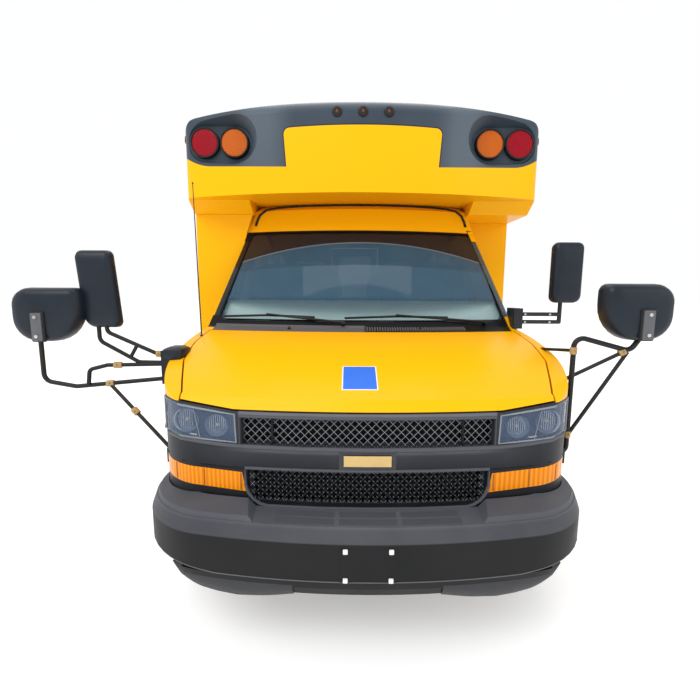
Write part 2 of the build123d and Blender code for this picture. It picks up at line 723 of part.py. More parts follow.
def save_frame():
    """Two channel rails open inwards, with cross members."""
    rail_x = (RAIL_X, RAIL_X + RAIL_FLANGE)
    rail = box(rail_x, (at(RAIL_FRONT) + SEAT_GAP, at(RAIL_BACK)), (RAIL_FOOT_Z, RAIL_TOP_Z))
    rail -= box(
        (RAIL_X - 1, RAIL_X + RAIL_FLANGE - RAIL_WEB),
        (at(RAIL_FRONT), at(RAIL_BACK) + 1),
        (RAIL_FOOT_Z + RAIL_WEB, RAIL_TOP_Z - RAIL_WEB),
    )
    frame = rail + mirror(rail, about=Plane.YZ)
    for station in (1300, 2300, 3300, 4300, 5000, RAIL_BACK - 80):
        reach = RAIL_X + RAIL_FLANGE - RAIL_WEB / 2
        frame += box((-reach, reach), (at(station), at(station + 70)), (RAIL_TOP_Z - 130, RAIL_TOP_Z - 20))
    hanger = box(rail_x, (at(RAIL_FRONT + 20), at(RAIL_FRONT + 40)), (RAIL_FOOT_Z - 90, RAIL_FOOT_Z + 20))
    for side in both_sides(hanger):
        frame += side
    save("frame_rails", frame)

    block = box((-290, 290), (at(470), at(1060)), (470, 1020))
    feet = box((-RAIL_X - 30, RAIL_X + 30), (at(640), at(760)), (RAIL_TOP_Z + SEAT_GAP, RAIL_TOP_Z + 60))
    radiator = box((-RAIL_X - 30, RAIL_X + 30), (at(380), at(440)), (RAIL_TOP_Z + SEAT_GAP, 1000))
    radiator += box((-RAIL_X + 10, RAIL_X - 10), (at(380), at(440)), (RAIL_FOOT_Z - 40, 1000))
    save("engine", fillet(block.edges(), 40) + feet, radiator)

    high, low = 560, 384
    route = ((-180, 1062, high), (-180, 1160, high), (-300, 1300, high), (-300, 5700, high))
    route += ((-300, 6000, low), (-300, OVERALL_LENGTH - 30, low))
    pipe = tube([(x, at(station), z) for x, station, z in route], 32, 60)
    muffler = Pos(-300, at(2800), high) * Cylinder(85, 700, rotation=(90, 0, 0))
    straps = box((-RAIL_X - 20, -290), (at(2780), at(2820)), (RAIL_FOOT_Z - 60, RAIL_FOOT_Z - SEAT_GAP))
    save("exhaust", pipe + muffler + straps)

    tank = fillet(box((-170, 370), (at(5120), at(6180)), (420, 735)).edges(), 40)
    hooks = box((300, RAIL_X + RAIL_FLANGE), (at(5500), at(5560)), (RAIL_FOOT_Z - 40, RAIL_FOOT_Z - SEAT_GAP))
    save("fuel_tank", tank + hooks)


# Passenger body


def body_face(inset):
    """The body's cross-section with its domed roof, in (X, Z)."""
    corner_z = ROOF_Z - ROOF_DOME
    half = BODY_HALF
    sides = Polyline((half, corner_z), (half, SKIRT_Z), (-half, SKIRT_Z), (-half, corner_z))
    dome = ThreePointArc((-half, corner_z), (0, ROOF_Z), (half, corner_z))
    face = make_face(sides + dome)
    face = fillet(face.vertices().sort_by(Axis.Y)[-2:], EAVE_RADIUS)
    return grown(face, -inset)


def window_cut(start, clearance):
    """A passenger window's outline from the side, in (Y, Z)."""
    middle = (at(start + WINDOW_WIDTH / 2), sum(WINDOW_Z) / 2)
    size = (WINDOW_WIDTH + 2 * clearance, WINDOW_Z[1] - WINDOW_Z[0] + 2 * clearance)
    return panel(middle, size, WINDOW_RADIUS + clearance)


def rear_arch():
    axle = Plane((0, REAR_AXLE_Y, TYRE_RADIUS), x_dir=(0, 1, 0), z_dir=(1, 0, 0))
    return extrude(axle * Circle(ARCH_RADIUS), BODY_WIDTH, both=True)


def bulkhead(station, x, opening):
    """A return wall between the cab and the body's side."""
    plate = box(x, (at(station), at(station + BULKHEAD)), (SKIRT_Z, CAP_SIDE_FOOT - SEAT_GAP))
    return plate - along_y(opening, at(station) - 1, at(station + BULKHEAD) + 1)


def wall_plate(side, front):
    """A side wall's flat plate, under the cap at the front and under the roof behind."""
    x = sorted((side * BODY_HALF, side * (BODY_HALF - BODY_WALL)))
    plate = box(x, (at(front), at(BODY_BACK - BODY_WALL) - SEAT_GAP), (SKIRT_Z, EAVE_Z - SEAT_GAP))
    plate -= box((-BODY_WIDTH, BODY_WIDTH), (NOSE, at(CAP_BACK)), (CAP_SIDE_FOOT - SEAT_GAP, ROOF_Z))
    return plate - rear_arch()


def hinge_pins(place, heights):
    """Two upright pins, standing in the sill and the header of a doorway."""
    low, high = heights
    spans = ((low - 6, low + GAP + HINGE_ENGAGE), (high - GAP - HINGE_ENGAGE, high + 6))
    return [Pos(*place, sum(span) / 2) * Cylinder(HINGE_PIN, span[1] - span[0]) for span in spans]


def hinge_bores(place, heights):
    """The holes in a door for its two pins."""
    low, high = heights
    reach = 2 * (GAP + HINGE_ENGAGE + 2)
    return [Pos(*place, z) * Cylinder(HINGE_PIN + RUNNING_GAP, reach) for z in (low, high)]


def save_side_walls():
    """Both side walls with their return walls, and the fixed panes set in them."""
    opening = cab_section(CAB_WALL)
    left = wall_plate(1, CAB_BACK) + bulkhead(CAB_BACK + SEAT_GAP, (0, BODY_HALF), opening)
    left -= box((-1, CAB_HALF - CAB_WALL), (NOSE, at(CAB_BACK + 2 * BULKHEAD)), (0, FLOOR_FOOT_Z))
    left += stop_stand()
    right = wall_plate(-1, RIGHT_FRONT + SEAT_GAP)
    right += bulkhead(RIGHT_FRONT + SEAT_GAP, (-BODY_HALF, -CAB_HALF * 0.7), opening)
    right -= box((-CAB_HALF + CAB_WALL, 0), (NOSE, at(CAB_BACK)), (0, FLOOR_FOOT_Z))
    header = box((-CAB_WIDTH, 0), (NOSE, at(CAB_BACK)), (KERB_HEADER_Z - SEAT_GAP, ROOF_Z))
    right -= along_y(cab_section(-SEAT_GAP), at(RIGHT_FRONT), at(CAB_BACK)) & header
    sill_x = (-BODY_HALF, BODY_WALL - BODY_HALF)
    right += box(sill_x, (at(RIGHT_FRONT) + SEAT_GAP, at(ENTRY[1] + 40)), (ENTRY_SILL_Z, SKIRT_Z))
    for span, heights in ((ENTRY, ENTRY_Z), (LIFT, LIFT_Z)):
        right -= box((-BODY_WIDTH, -CAB_HALF), (at(span[0]), at(span[1])), heights)
    for place, heights in SIDE_HINGES.values():
        right += hinge_pins(place, heights)
    panes = []
    pane_x = BODY_HALF - BODY_WALL / 2
    for start in LEFT_WINDOWS:
        left -= along_x(window_cut(start, 0), CAB_HALF, BODY_WIDTH)
        panes.append(along_x(window_cut(start, -SEAT_GAP), pane_x - GLASS, pane_x))
    for start in RIGHT_WINDOWS:
        right -= along_x(window_cut(start, 0), -BODY_WIDTH, -CAB_HALF)
        panes.append(along_x(window_cut(start, -SEAT_GAP), -pane_x, GLASS - pane_x))
    save("side_wall_left", left)
    save("side_wall_right", right)
    return panes


def save_roof():
    front, back = at(CAP_BACK) + SEAT_GAP, at(BODY_BACK - BODY_WALL) - SEAT_GAP
    ring = along_y(body_face(0), front, back) - along_y(body_face(BODY_WALL), front - 1, back + 1)
    save("roof", ring & box((-BODY_WIDTH, BODY_WIDTH), (front, back), (EAVE_Z, ROOF_Z + 10)))


def cap_plan():
    """The cap's outline from above: a bowed front with rounded corners, in (X, Y)."""
    half = Polyline((0, at(CAP_BACK)), (BODY_HALF, at(CAP_BACK)), (BODY_HALF, at(CAP_CORNER)))
    bow = ThreePointArc((BODY_HALF, at(CAP_CORNER)), (0, at(CAP_FRONT)), (-BODY_HALF, at(CAP_CORNER)))
    plan = make_face(half + bow + mirror(half, about=Plane.YZ))
    return fillet(plan.vertices().group_by(Axis.Y)[0], CAP_CORNER_RADIUS)


def cap_solid():
    """The bowed front cap over the windshield, its upper front edge rolled back."""
    front, back = at(CAP_FRONT - 50), at(CAP_BACK + 50)
    sagitta = CAP_CORNER - CAP_FRONT
    bow_radius = (BODY_HALF**2 + sagitta**2) / (2 * sagitta)
    axis = Axis((0, at(CAP_FRONT) + bow_radius, 0), (0, 0, 1))
    foot, head = ROOF_Z - CAP_ROLL[1], ROOF_Z + 5
    start = (at(CAP_FRONT) - 4, foot)
    roll = ThreePointArc(
        start,
        (at(CAP_FRONT) + CAP_ROLL[0] * 0.29, ROOF_Z - CAP_ROLL[1] * 0.29),
        (at(CAP_FRONT) + CAP_ROLL[0], head),
    )
    far = at(CAP_BACK + 100)
    rest = Polyline(roll @ 1, (far, head), (far, CAB_SILL_Z), (start[0], CAB_SILL_Z), start)
    turned = revolve((Plane.YZ * make_face(roll + rest)).rotate(axis, -40), axis, 80)
    plan = along_z(cap_plan(), CAP_FOOT, ROOF_Z + 50)
    return plan & along_y(body_face(0), front, back) & turned


def cap_cheek():
    """The cap's lower corner beside the cab roof, sloped up to its crease in front."""
    side = outline(
        (at(1500), CAP_CREASE_Z + 30),
        (at(1560), CAP_CREASE_Z),
        (at(1700), CAP_SIDE_FOOT),
        (at(CAP_BACK), CAP_SIDE_FOOT),
        (at(CAP_BACK), CAP_CREASE_Z + 30),
    )
    cheek = along_x(side, CAP_CHEEK_X, BODY_HALF)
    return (cheek & along_z(cap_plan(), 0, ROOF_Z)) - cab_form(-SEAT_GAP)


def save_cap():
    """The cap, hollow behind, with a sloped pod for each pair of warning lamps."""
    cap = cap_solid()
    for cheek in both_sides(cap_cheek()):
        cap += cheek
    hollow = BODY_HALF - 120
    cap -= box((-hollow, hollow), (at(CAP_CORNER + 90), at(CAP_BACK + 1)), (CAP_FOOT + 60, ROOF_Z - 130))
    middle = (RED_LAMP[0] + AMBER_LAMP[0]) / 2
    long = RED_LAMP[0] - AMBER_LAMP[0] + 2 * (LAMP_RADIUS + LAMP_POD_MARGIN)
    high = 2 * (LAMP_RADIUS + LAMP_POD_MARGIN)
    for side in (1, -1):
        floor = Plane((side * middle, at(LAMP_PLANE), RED_LAMP[1]), x_dir=(1, 0, 0), z_dir=(0, -1, 0))
        cap -= extrude(floor * RectangleRounded(long, high, high / 2 - 2), 300, taper=-24)
    save("front_cap", cap)


def disc_lamp(x, y, z, radius, depth, facing):
    """A round lamp standing on a face at y, facing -Y or +Y."""
    lamp = Pos(x, y + facing * depth / 2, z) * Cylinder(radius, depth, rotation=(90, 0, 0))
    rim = lamp.edges().filter_by(GeomType.CIRCLE).sort_by(Axis.Y)
    return fillet(rim[-1] if facing > 0 else rim[0], depth * 0.4)


def save_lamps(turn_lamps):
    """Red and amber lamps, front and rear."""
    back = at(BODY_BACK) + SEAT_GAP
    front = at(LAMP_PLANE) - SEAT_GAP
    red, amber = [], list(turn_lamps)
    table = (
        (red, RED_LAMP[0], front, RED_LAMP[1], LAMP_RADIUS, 30, -1),
        (amber, AMBER_LAMP[0], front, AMBER_LAMP[1], LAMP_RADIUS, 30, -1),
        (red, RED_LAMP[0] - 60, back, REAR_LAMP_Z, LAMP_RADIUS, 34, 1),
        (amber, AMBER_LAMP[0] - 60, back, REAR_LAMP_Z, LAMP_RADIUS, 34, 1),
        (red, 960, back, 1010, 80, 34, 1),
        (amber, 960, back, 1200, 80, 34, 1),
    )
    for lamps, x, y, z, radius, depth, facing in table:
        lamps += [disc_lamp(side * x, y, z, radius, depth, facing) for side in (1, -1)]
    save("red_lamps", *red)
    save("amber_lamps", *amber)


def save_rear_wall():
    """The rear wall with its doorway and two windows."""
    front, back = at(BODY_BACK - BODY_WALL), at(BODY_BACK)
    wall = along_y(body_face(0), front, back)
    low, high = REAR_DOOR_Z
    wall -= box((-REAR_DOOR_HALF, REAR_DOOR_HALF), (front - 1, back + 1), (low, high))
    panes = []
    middle_x = (REAR_DOOR_HALF + BODY_HALF) / 2 - 5
    size = (560, WINDOW_Z[1] - WINDOW_Z[0] - 60)
    centre_z = sum(WINDOW_Z) / 2
    pane_y = (front + back) / 2
    for side in (1, -1):
        wall -= along_y(panel((side * middle_x, centre_z), size, WINDOW_RADIUS), front - 1, back + 1)
        inner = (size[0] - 2 * SEAT_GAP, size[1] - 2 * SEAT_GAP)
        pane = panel((side * middle_x, centre_z), inner, WINDOW_RADIUS - SEAT_GAP)
        panes.append(along_y(pane, pane_y, pane_y + GLASS))
    wall -= plate_holes(REAR_PLATE_X, back, REAR_PLATE_Z)
    wall += hinge_pins(REAR_HINGE, REAR_DOOR_Z)

    beam = box((60 - BODY_HALF, BODY_HALF - 60), (back + 12, TAIL), (470, 640))
    beam = fillet(beam.edges().filter_by(Axis.Z), 30)
    beam -= box((90 - BODY_HALF, BODY_HALF - 90), (back, TAIL - 10), (480, 630))
    low, high = RAIL_FOOT_Z - 100, RAIL_FOOT_Z + 38
    slots = Part()
    for x in (-RAIL_X - RAIL_FLANGE, RAIL_X):
        beam += box((x, x + RAIL_FLANGE), (at(RAIL_BACK) + SEAT_GAP, TAIL - 5), (low, high))
        slots += box((x - 1, x + RAIL_FLANGE + 1), (front - 5, back + 5), (low - 5, high + 5))
    save("rear_wall", wall - slots)
    save("rear_bumper", beam)
    return panes


def save_floor():
    """Floor plates, cross sills, stepwell and firewall."""
    inside = BODY_HALF - BODY_WALL - SEAT_GAP
    plate = (FLOOR_FOOT_Z, FLOOR_TOP_Z)
    middle = at(CAB_BACK + BULKHEAD) + 2
    floor = box((-inside, inside), (middle, at(BODY_BACK - BODY_WALL) - SEAT_GAP), plate)
    cab_inside = CAB_HALF - CAB_WALL - SEAT_GAP
    floor += box((-cab_inside, cab_inside), (at(FIREWALL), middle + 2), plate)
    floor += box((-inside, -CAB_HALF / 2), (at(RIGHT_FRONT + BULKHEAD) + 2, middle + 2), plate)
    sill_z = (RAIL_TOP_Z + SEAT_GAP, FLOOR_FOOT_Z)
    for station in range(2700, 6300, 500):
        floor += box((-inside, inside), (at(station), at(station + 60)), sill_z)
    floor += box((-RAIL_X - 60, RAIL_X + 60), (at(1500), at(1560)), sill_z)
    well = (STEP_X, -inside)
    floor -= box((well[1], well[0]), (at(ENTRY[0]), at(ENTRY[1])), (0, FLOOR_TOP_Z + 1))
    tread = (well[0] - well[1]) / 2
    rise = (FLOOR_TOP_Z - STEP_Z) / 2
    stairs = outline(
        (well[1], STEP_Z),
        (well[1] + tread, STEP_Z),
        (well[1] + tread, STEP_Z + rise),
        (well[0], STEP_Z + rise),
        (well[0], FLOOR_TOP_Z),
        (well[0] - 15, FLOOR_TOP_Z),
        (well[0] - 15, STEP_Z + rise + 15),
        (well[1] + tread - 15, STEP_Z + rise + 15),
        (well[1] + tread - 15, STEP_Z + 15),
        (well[1], STEP_Z + 15),
    )
    floor += along_y(stairs, at(ENTRY[0]), at(ENTRY[1]))
    for station in (ENTRY[0], ENTRY[1] - 15):
        floor += box((well[1], well[0]), (at(station), at(station + 15)), (STEP_Z, FLOOR_TOP_Z))
    firewall = box((-CAB_HALF, CAB_HALF), (at(FIREWALL), at(FIREWALL + 30)), (FLOOR_FOOT_Z, BELT_Z))
    floor += firewall & cab_form(CAB_WALL + SEAT_GAP)
    save("floor", floor)


# Doors


def door_leaf(size, glass):
    """An upright leaf from its two (low, high) pairs with one window cut in it, and its pane, in (U, Z)."""
    (u0, u1), (z0, z1) = size
    (g0, g1), (h0, h1) = glass
    frame = outline((u0, z0), (u1, z0), (u1, z1), (u0, z1))
    middle = ((g0 + g1) / 2, (h0 + h1) / 2)
    hole = panel(middle, (g1 - g0, h1 - h0), 40)
    pane = panel(middle, (g1 - g0 - 2 * SEAT_GAP, h1 - h0 - 2 * SEAT_GAP), 40 - SEAT_GAP)
    return frame - hole, pane


def save_side_doors():
    """The entry door's two leaves and the lift door, in the right wall."""
    middle = sum(ENTRY) / 2
    table = (
        ("entry_door_front", (ENTRY[0] + GAP, middle - GAP / 2 - 1), ENTRY_Z, 70, 130, 160),
        ("entry_door_rear", (middle + GAP / 2 + 1, ENTRY[1] - GAP), ENTRY_Z, 70, 130, 160),
        ("lift_door", (LIFT[0] + GAP, LIFT[1] - GAP), LIFT_Z, 210, WINDOW_Z[0] - LIFT_Z[0], 170),
    )
    outside = -BODY_HALF
    pane_x = outside + DOOR_THICK / 2
    for node, span, heights, border, foot, head in table:
        u = (at(span[0]), at(span[1]))
        z = (heights[0] + GAP, heights[1] - GAP)
        glass = ((u[0] + border, u[1] - border), (z[0] + foot, z[1] - head))
        frame, pane = door_leaf((u, z), glass)
        save(node, along_x(frame, outside, outside + DOOR_THICK) - hinge_bores(*SIDE_HINGES[node]))
        save(f"{node}_glass", along_x(pane, pane_x, pane_x + GLASS))


def save_rear_door():
    u = (GAP - REAR_DOOR_HALF, REAR_DOOR_HALF - GAP)
    z = (REAR_DOOR_Z[0] + GAP, REAR_DOOR_Z[1] - GAP)
    glass = ((u[0] + 110, u[1] - 110), (WINDOW_Z[0], WINDOW_Z[1] + 60))
    frame, pane = door_leaf((u, z), glass)
    back = at(BODY_BACK)
    save("rear_door", along_y(frame, back - DOOR_THICK, back) - hinge_bores(REAR_HINGE, REAR_DOOR_Z))
    save("rear_door_glass", along_y(pane, back - DOOR_THICK / 2 - GLASS, back - DOOR_THICK / 2))


def stop_stand():
    """The stop arm's bracket on the wall, with an ear above and below the arm and the pin between them."""
    x = (BODY_HALF - 1, BODY_HALF + STOP_STAND)
    stand = box(x, (at(STOP_STATION - 60), at(STOP_STATION - 16)), (STOP_Z - 104, STOP_Z + 104))
    for low in (STOP_Z - 104, STOP_Z + 88):
        stand += box(x, (at(STOP_STATION - 60), at(STOP_STATION + 12)), (low, low + 16))
    return stand + Pos(*STOP_HINGE, STOP_Z) * Cylinder(HINGE_PIN, 200)


def save_stop_arm():
    """A blank octagon on a hinged arm."""
    radius = STOP_ACROSS / 2 / cos(radians(22.5))
    centre = (at(STOP_STATION + 36 + STOP_ACROSS / 2), STOP_Z)
    sign = Pos(*centre) * Rot(0, 0, 22.5) * RegularPolygon(radius, 8)
    x0 = BODY_HALF + GAP
    arm = along_x(sign, x0, x0 + STOP_THICK)
    root_y = (at(STOP_STATION - 9), at(STOP_STATION + 80))
    arm += box((x0, x0 + STOP_THICK), root_y, (STOP_Z - 80, STOP_Z + 80))
    save("stop_arm", arm - Pos(*STOP_HINGE, STOP_Z) * Cylinder(HINGE_PIN + RUNNING_GAP, 400))


# Cab fittings


def save_dashboard():
    """The dash under the windshield with the steering column, and the steering wheel."""
    front = FIREWALL + 30 + SEAT_GAP
    face = outline(
        (at(front), 1010),
        (at(front), 1310),
        (at(1210), 1350),
        (at(1420), 1490),
        (at(1470), 1465),
        (at(1480), 1330),
        (at(1420), 1220),
        (at(1400), 1010),
    )
    dash = along_x(face, -CAB_HALF, CAB_HALF) & cab_form(CAB_WALL + SEAT_GAP)
    axis = wheel_axis()
    column = axis * Pos(0, 0, -220) * Cylinder(34, 360)
    shaft = axis * Pos(0, 0, -20) * Cylinder(SHAFT_RADIUS, 120)
    save("dashboard", dash + column + shaft)

    ring = Torus(STEERING_RADIUS, 15)
    boss = Cylinder(60, 36)
    spokes = Part()
    for angle in (0, 180, 270):
        spokes += Rot(0, 0, angle) * Pos(STEERING_RADIUS / 2, 0, 0) * Box(STEERING_RADIUS, 34, 14)
    bore = Cylinder(SHAFT_RADIUS + RUNNING_GAP, 100)
    save("steering_wheel", axis * (ring + boss + spokes - bore))


def wheel_axis():
    """The steering wheel's place: its own Z runs up the column towards the driver."""
    lean = radians(COLUMN_LEAN)
    return Location(Plane(STEERING_CENTRE, x_dir=(1, 0, 0), z_dir=(0, cos(lean), sin(lean))))


def save_seats():
    """The driver's seat and the passenger benches, each on its stand."""
    pieces = []
    x, y = DRIVER_X, at(DRIVER_STATION)
    cushion = fillet(box((x - 255, x + 255), (y - 480, y), (1150, 1270)).edges(), 36)
    back = fillet(box((x - 255, x + 255), (y - 20, y + 100), (1215, 1800)).edges(), 36)
    head = fillet(box((x - 130, x + 130), (y + 10, y + 90), (1780, 1960)).edges(), 30)
    stand = box((x - 190, x + 190), (y - 420, y - 40), (FLOOR_TOP_Z + SEAT_GAP, 1160))
    pieces.append(cushion + back + head + stand)
    inside = BODY_HALF - BODY_WALL
    for side, station in BENCHES:
        y = at(station)
        x = sorted((side * (inside - BENCH_WIDTH - 20), side * (inside - 20)))
        bench = fillet(box(x, (y, y + 400), (BENCH_Z, BENCH_Z + 110)).edges(), 36)
        bench += fillet(box(x, (y + 370, y + 470), (BENCH_Z + 20, BENCH_Z + 640)).edges(), 40)
        for leg_x in (x[0] + 120, x[1] - 150):
            bench += box((leg_x, leg_x + 30), (y + 60, y + 420), (FLOOR_TOP_Z + SEAT_GAP, BENCH_Z + 30))
        pieces.append(bench)
    save("seats", *pieces)


def on_glass(o, z, x, lift):
    """A point above the windshield's face, given by its place on the centre line and its X."""
    slope = Vector(GLASS_HEAD[0] - GLASS_FOOT[0], GLASS_HEAD[1] - GLASS_FOOT[1]).normalized()
    reach = CAB_TURN_STATION - (o - lift * slope.Y)
    return (x, at(CAB_TURN_STATION) - (reach**2 - x**2) ** 0.5, z + lift * slope.X)


def glass_station(z):
    """The centre line's station on the windshield at a height."""
    share = (z - GLASS_FOOT[1]) / (GLASS_HEAD[1] - GLASS_FOOT[1])
    return GLASS_FOOT[0] + share * (GLASS_HEAD[0] - GLASS_FOOT[0])


def save_wipers():
    """Two parked wipers: a post in the cowl, an arm and a blade."""
    pieces = []
    for pivot_x, *blade_x in WIPERS:
        pivot_z = GLASS_FOOT[1] + 17
        foot = on_glass(glass_station(pivot_z), pivot_z, pivot_x, -4)
        post = on_glass(glass_station(pivot_z), pivot_z, pivot_x, 26)
        middle_x = sum(blade_x) / 2
        height = GLASS_FOOT[1] + 60
        elbow = on_glass(glass_station(height), height, middle_x, 26)
        ends = []
        for x, z in ((blade_x[0], height - 8), (middle_x, height), (blade_x[1], height - 12)):
            ends.append(on_glass(glass_station(z), z, x, 15))
        stem = tube((foot, post), 13, 1)
        arm = tube((post, elbow), 7, 1)
        blade = tube((ends[0], ends[1]), 7, 1) + tube((ends[1], ends[2]), 7, 1)
        joint = tube((elbow, ends[1]), 7, 1)
        pieces.append(stem + arm + blade + joint + Pos(*ends[1]) * Sphere(8) + Pos(*elbow) * Sphere(8))
    skin = cab_form(-SEAT_GAP)
    save("wipers", *[piece - skin for piece in pieces])


# Mirrors


def mirror_head(centre, size, depth, radii):
    """A mirror housing, its upper and lower corners rounded, with a softened back, facing rearwards."""
    wide, high = size
    face = Rectangle(wide, high)
    for row, radius in zip((0, -1), radii):
        face = fillet(face.vertices().group_by(Axis.Y)[row], radius)
    plane = Plane((centre[0], centre[1] + depth / 2, centre[2]), x_dir=(1, 0, 0), z_dir=(0, -1, 0))
    head = extrude(plane * face, depth)
    front = head.faces().sort_by(Axis.Y)[0]
    return fillet(front.edges(), depth * 0.4)


def save_mirrors():
    """Fender-mounted mirrors on their tubes, and the mirror carried by the driver's door."""
    arms = Part()
    for radius, bend, route in MIRROR_TUBES:
        arms += tube([(x, at(station), z) for x, station, z in route], radius, bend)
    skin = cab_form(-SEAT_GAP)
    for x, stations, z in MIRROR_BASES:
        arms += box(x, (at(stations[0]), at(stations[1])), z)
    save("mirror_arms", arms - skin)
    heads = []
    for centre, size, depth, radii in MIRROR_HEADS:
        place = (centre[0], at(centre[1]), centre[2])
        heads.append(mirror_head(place, size, depth, radii) - arms)
    save("mirror_heads", *heads)

    centre, size, depth, radii = DOOR_MIRROR
    head = mirror_head((centre[0], at(centre[1]), centre[2]), size, depth, radii)
    for z in DOOR_MIRROR_BARS:
        reach = [(CAB_HALF - 30, at(centre[1] + 10), z), (centre[0] - 20, at(centre[1] + 10), z)]
        head += tube(reach, 13, 1)
        head += tube([reach[1], (reach[1][0], reach[1][1], centre[2] - size[1] / 2 + 40)], 13, 1)
        head += Pos(*reach[1]) * Sphere(13)
    low, high = DOOR_MIRROR_BARS[0] - 40, DOOR_MIRROR_BARS[-1] + 40
    head += box((CAB_HALF - 30, CAB_HALF + 26), (at(centre[1] - 60), at(centre[1] + 70)), (low, high))
    save("driver_mirror", head - skin)


if __name__ == "__main__":
    os.makedirs(PARTS, exist_ok=True)
    panes, turn_lamps = make_cab()
    save_front_bumper()
    save_wheels()
    save_front_axle()
    save_rear_axle()
    save_frame()
    panes += save_side_walls()
    save_roof()
    save_cap()
    save_lamps(turn_lamps)
    panes += save_rear_wall()
    save("windows", *panes)
    save_floor()
    save_side_doors()
    save_rear_door()
    save_stop_arm()
    save_dashboard()
    save_seats()
    save_wipers()
    save_mirrors()
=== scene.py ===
"""Looks of a small school bus: paint, glass, mouldings, lamps, trim, seats and tyre tread."""

from functools import partialmethod
from math import asin, atan2, cos, degrees, pi, radians, sin, sqrt

import bmesh
import bpy
from mathutils import Matrix, Vector
from mathutils.bvhtree import BVHTree


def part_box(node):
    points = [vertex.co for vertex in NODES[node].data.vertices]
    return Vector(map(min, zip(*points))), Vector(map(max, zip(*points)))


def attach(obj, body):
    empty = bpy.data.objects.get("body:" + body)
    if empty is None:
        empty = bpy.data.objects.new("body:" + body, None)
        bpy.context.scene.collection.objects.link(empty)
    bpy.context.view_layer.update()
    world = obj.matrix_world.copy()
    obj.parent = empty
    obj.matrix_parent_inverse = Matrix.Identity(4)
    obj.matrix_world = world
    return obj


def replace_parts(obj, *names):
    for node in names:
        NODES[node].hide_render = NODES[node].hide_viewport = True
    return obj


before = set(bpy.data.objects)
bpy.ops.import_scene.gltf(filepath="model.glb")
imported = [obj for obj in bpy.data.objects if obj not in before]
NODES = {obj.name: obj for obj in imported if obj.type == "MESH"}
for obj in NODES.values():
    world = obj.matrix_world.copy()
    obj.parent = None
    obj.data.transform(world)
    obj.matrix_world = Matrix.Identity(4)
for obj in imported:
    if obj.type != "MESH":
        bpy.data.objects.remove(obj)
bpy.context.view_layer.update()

ROOT = "chassis"

# Places shared with the solids, in metres
NOSE = -3.25
TAIL = 3.25
BODY_HALF = 1.219
BODY_BACK = NOSE + 6.42
BACK_WALL = BODY_BACK - 0.025
TYRE_RADIUS = 0.372
FRONT_AXLE = NOSE + 0.94
REAR_AXLE = FRONT_AXLE + 3.531
LAMP_Z = 2.538
RED_X = 1.062
AMBER_X = 0.861
LAMP_PLANE = NOSE + 1.53
WINDOW_Z = (1.43, 2.13)
WINDOW_WIDTH = 0.68
LEFT_WINDOWS = (2.34, 3.12, 3.9, 4.68, 5.46)
RIGHT_WINDOWS = (2.64, 3.42, 4.2)
CAB_BOW_CENTRE = 4.0
SCREEN_FOOT_Z = 1.364
SCREEN_LEAN = 0.2182
MESH_PITCH = 0.035
MESH_MIDDLE_Z = (0.974, 0.735)
DIODE_PITCH = 0.019
FLUTE_PITCH = 0.021

# Shared colours
YELLOW = (0.9, 0.435, 0.003)
YELLOW_DEEP = (0.82, 0.36, 0.002)
BLACK = (0.008, 0.008, 0.009)
ROAD_DUST = (0.36, 0.29, 0.19)


def at(station):
    """Y of a distance behind the front bumper's face."""
    return NOSE + station


# Shaders


class Shade:
    """A shader socket. Arithmetic on it adds Math nodes, and node() adds any other node."""

    def __init__(self, tree, socket=None):
        self.tree = tree
        self.socket = socket

    def node(self, kind, settings=None, inputs=None, output=0):
        made = self.tree.nodes.new(kind)
        for name, value in (settings or {}).items():
            setattr(made, name, value)
        for name, value in (inputs or {}).items():
            if isinstance(value, Shade):
                self.tree.links.new(value.socket, made.inputs[name])
            else:
                made.inputs[name].default_value = value
        return Shade(self.tree, made.outputs[output]) if made.outputs else None

    def math(self, operation, *others):
        return self.node("ShaderNodeMath", {"operation": operation}, dict(enumerate((self, *others))))

    def __rsub__(self, other):
        return self.node("ShaderNodeMath", {"operation": "SUBTRACT"}, {0: other, 1: self})

    __add__ = __radd__ = partialmethod(math, "ADD")
    __sub__ = partialmethod(math, "SUBTRACT")
    __mul__ = __rmul__ = partialmethod(math, "MULTIPLY")
    __truediv__ = partialmethod(math, "DIVIDE")
    __abs__ = partialmethod(math, "ABSOLUTE")
    most = partialmethod(math, "MAXIMUM")

    def step(self, low, high):
        """0 below low, 1 above high, smooth between."""
        inputs = {"Value": self, "From Min": low, "From Max": high}
        return self.node("ShaderNodeMapRange", {"interpolation_type": "SMOOTHSTEP"}, inputs)

    def fall(self, low, high):
        """1 below low, 0 above high, smooth between."""
        return 1 - self.step(low, high)

    def between(self, start, full, end, gone):
        """0 below start and above gone, 1 from full to end."""
        return self.step(start, full) * self.fall(end, gone)

    def mix(self, *colours):
        """A colour from the first, where the value is 0, to the second, where it is 1."""
        first, second = [c if isinstance(c, Shade) else (*c, 1) for c in colours]
        return self.node("ShaderNodeMix", {"data_type": "RGBA"}, {0: self, 6: first, 7: second}, 2)

    def place(self):
        return self.node("ShaderNodeTexCoord", output="Object")

    def axes(self):
        """X, Y and Z of the object's own coordinates."""
        split = self.tree.nodes.new("ShaderNodeSeparateXYZ")
        self.tree.links.new(self.place().socket, split.inputs[0])
        return [Shade(self.tree, socket) for socket in split.outputs]

    def noise(self, scale, detail):
        inputs = {"Vector": self.place(), "Scale": scale, "Detail": detail, "Roughness": 0.55}
        return self.node("ShaderNodeTexNoise", inputs=inputs)

    def cells(self, scale):
        return self.node("ShaderNodeTexVoronoi", inputs={"Vector": self.place(), "Scale": scale})

    def bump(self, height, strength, distance):
        inputs = {"Height": height, "Strength": strength, "Distance": distance}
        return self.node("ShaderNodeBump", inputs=inputs)


